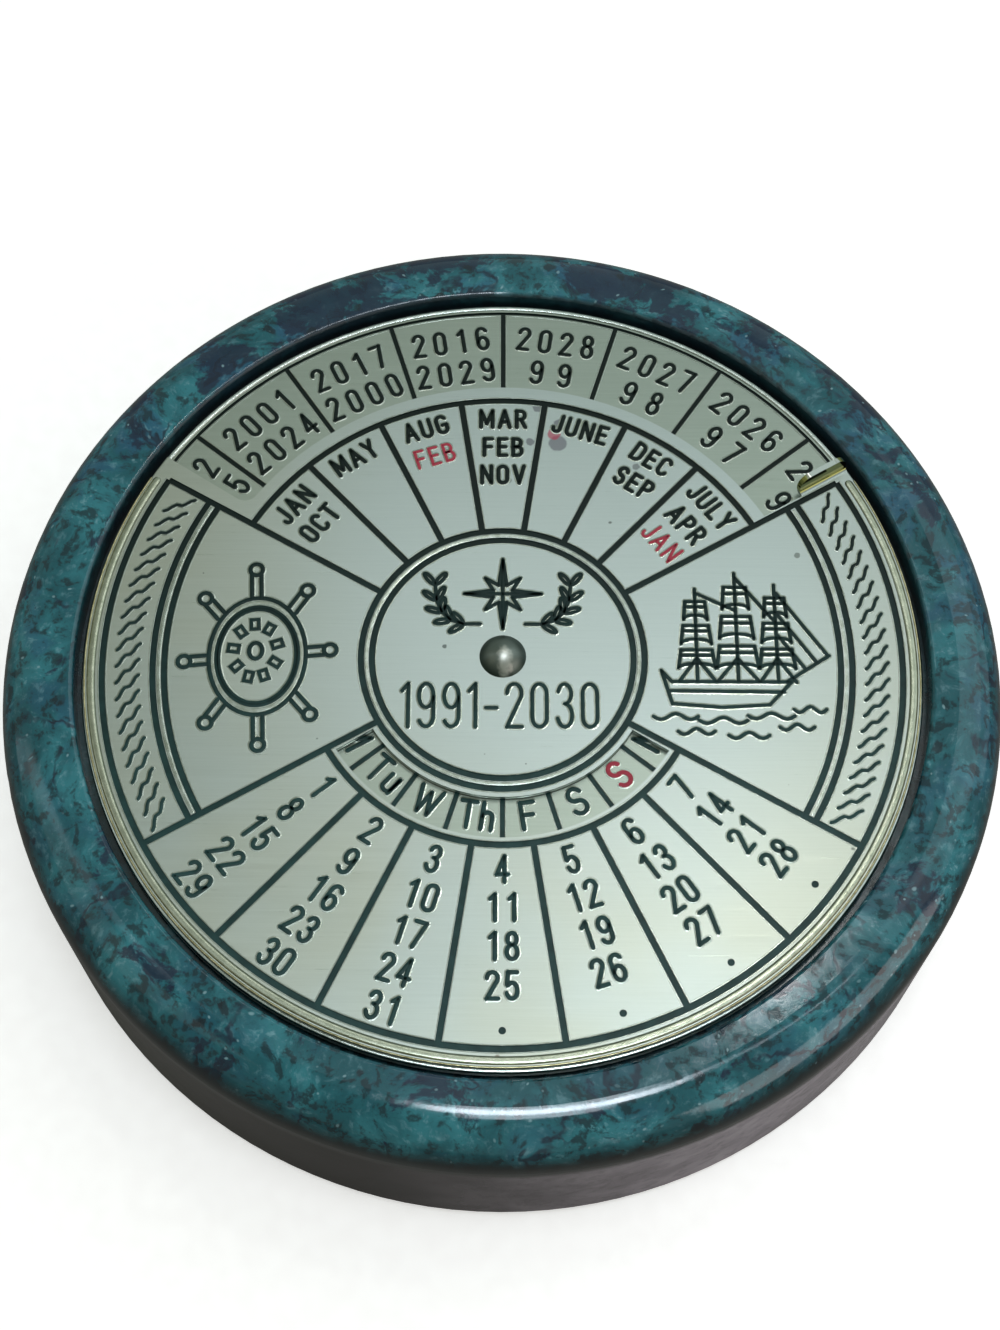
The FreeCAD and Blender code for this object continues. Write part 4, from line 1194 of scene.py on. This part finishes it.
class SetStage(bpy.types.Operator):
    """Floor, camera, soft studio lamps and a pale surround"""
    bl_idname = "calendar.set_stage"
    bl_label = "Set stage"

    def execute(self, context):
        self.add_floor(context)
        self.add_camera(context)
        for lamp in LAMPS:
            self.add_lamp(*lamp)
        self.light_world(context)
        context.scene.view_settings.view_transform = "Standard"
        return {"FINISHED"}

    def add_floor(self, context):
        """White paper with a faint grain that keeps the object's shadow."""
        deselect()
        bpy.ops.mesh.primitive_plane_add(size=FLOOR_SIZE, location=(0, 0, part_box("felt_pad")[0].z))
        floor = bpy.context.object
        floor.name = "floor"
        bpy.ops.object.transform_apply(location=True, rotation=True, scale=True)
        material, tree, shader = start_material("white_paper_floor")
        grain = noise(tree, place_coordinates(tree), 2 * MM)
        tone = context.scene.calendar_colours.floor[:]
        paper = blend(tree, ramp(tree, grain, 0.3, 0.7), tone, linear("fffaf6"))
        seen = add_node(tree, "ShaderNodeLightPath").outputs["Is Camera Ray"]
        feed(tree, shader, Base_Color=blend(tree, seen, linear("8a8580"), paper), Roughness=0.9,
             Emission_Color=(1, 1, 1, 1), Emission_Strength=calculate(tree, "MULTIPLY", seen, 0.5))
        coat_with(floor, material)

    def add_camera(self, context):
        """The photograph's camera."""
        deselect()
        bpy.ops.object.camera_add(location=CAMERA_PLACE, rotation=CAMERA_TURN)
        camera = bpy.context.object
        camera.data.lens = CAMERA_LENS
        camera.data.clip_start = 1 * MM
        context.scene.camera = camera

    def add_lamp(self, name, place, size, power, hex_colour):
        """An area lamp that faces the top of the stone."""
        deselect()
        back = (Vector(place) - Vector((0, 0, STONE_TOP))).normalized()
        across = Vector((0, 1, 0)).cross(back).normalized()
        turn = Matrix((across, back.cross(across), back)).transposed().to_euler()
        bpy.ops.object.light_add(type="AREA", location=place, rotation=turn)
        lamp = bpy.context.object
        lamp.name = name
        lamp.data.shape = "RECTANGLE"
        lamp.data.size, lamp.data.size_y = size
        lamp.data.energy = power
        lamp.data.color = linear(hex_colour)[:3]

    def light_world(self, context):
        """A pale room, white where the camera sees it: dimmer to the left, to the back and low in front,
        with a dim patch to the right and a bright strip that the near stone mirrors."""
        world = bpy.data.worlds.new("pale_room")
        context.scene.world = world
        world.use_nodes = True
        tree = world.node_tree
        tree.nodes.clear()
        direction = add_node(tree, "ShaderNodeTexCoord").outputs["Generated"]
        parts = split(tree, direction)
        tint = blend(tree, ramp(tree, parts["X"], -0.24, 0.2), linear("8e958a"), linear("cfdfe0"))
        tint = blend(tree, ramp(tree, parts["Y"], 0.4, 0.6, 0.0, 0.6), tint, linear("8c9c98"))
        tint = blend(tree, ramp(tree, parts["Y"], 0.34, 0.2, 0.0, 0.7), tint, linear("7d837a"))
        patch = times(tree, ramp(tree, parts["X"], 0.13, 0.2),
                      ramp(tree, parts["X"], 0.28, 0.2, 0.2, 1.0))
        tint = blend(tree, times(tree, patch, 0.85), tint, linear("858c82"))
        strip = times(tree, ramp(tree, parts["Y"], 0.12, 0.17), ramp(tree, parts["Y"], 0.25, 0.225))
        tint = blend(tree, times(tree, strip, 0.85), tint, linear("dbe9ec"))
        seen = add_node(tree, "ShaderNodeLightPath").outputs["Is Camera Ray"]
        background = add_node(tree, "ShaderNodeBackground", None, {
            "Color": blend(tree, seen, tint, (1, 1, 1, 1)), "Strength": 1.0})
        output = add_node(tree, "ShaderNodeOutputWorld")
        tree.links.new(background.outputs["Background"], output.inputs["Surface"])


class CalendarPanel(bpy.types.Panel):
    """Steps and settings of the calendar"""
    bl_idname = "VIEW3D_PT_calendar"
    bl_label = "Perpetual calendar"
    bl_space_type = "VIEW_3D"
    bl_region_type = "UI"
    bl_category = "Calendar"

    def draw(self, context):
        for step in STEPS:
            self.layout.operator(step.bl_idname)
        for group in (context.scene.calendar_sizes, context.scene.calendar_colours):
            box = self.layout.box()
            for name in group.__annotations__:
                box.prop(group, name)


STEPS = (FinishStone, FinishMetal, LayYears, LayWeekdays, LayMonths, LayDates, LayMedallion, LayWheel,
         LayShip, LayRope, LayLips, SetStage)
CLASSES = (CalendarSizes, CalendarColours, *STEPS, CalendarPanel)


def register():
    for cls in CLASSES:
        bpy.utils.register_class(cls)
    bpy.types.Scene.calendar_sizes = bpy.props.PointerProperty(type=CalendarSizes)
    bpy.types.Scene.calendar_colours = bpy.props.PointerProperty(type=CalendarColours)


def unregister():
    del bpy.types.Scene.calendar_colours
    del bpy.types.Scene.calendar_sizes
    for cls in reversed(CLASSES):
        bpy.utils.unregister_class(cls)


def main():
    register()
    for step in STEPS:
        family, name = step.bl_idname.split(".")
        getattr(getattr(bpy.ops, family), name)()


if __name__ == "__main__":
    main()
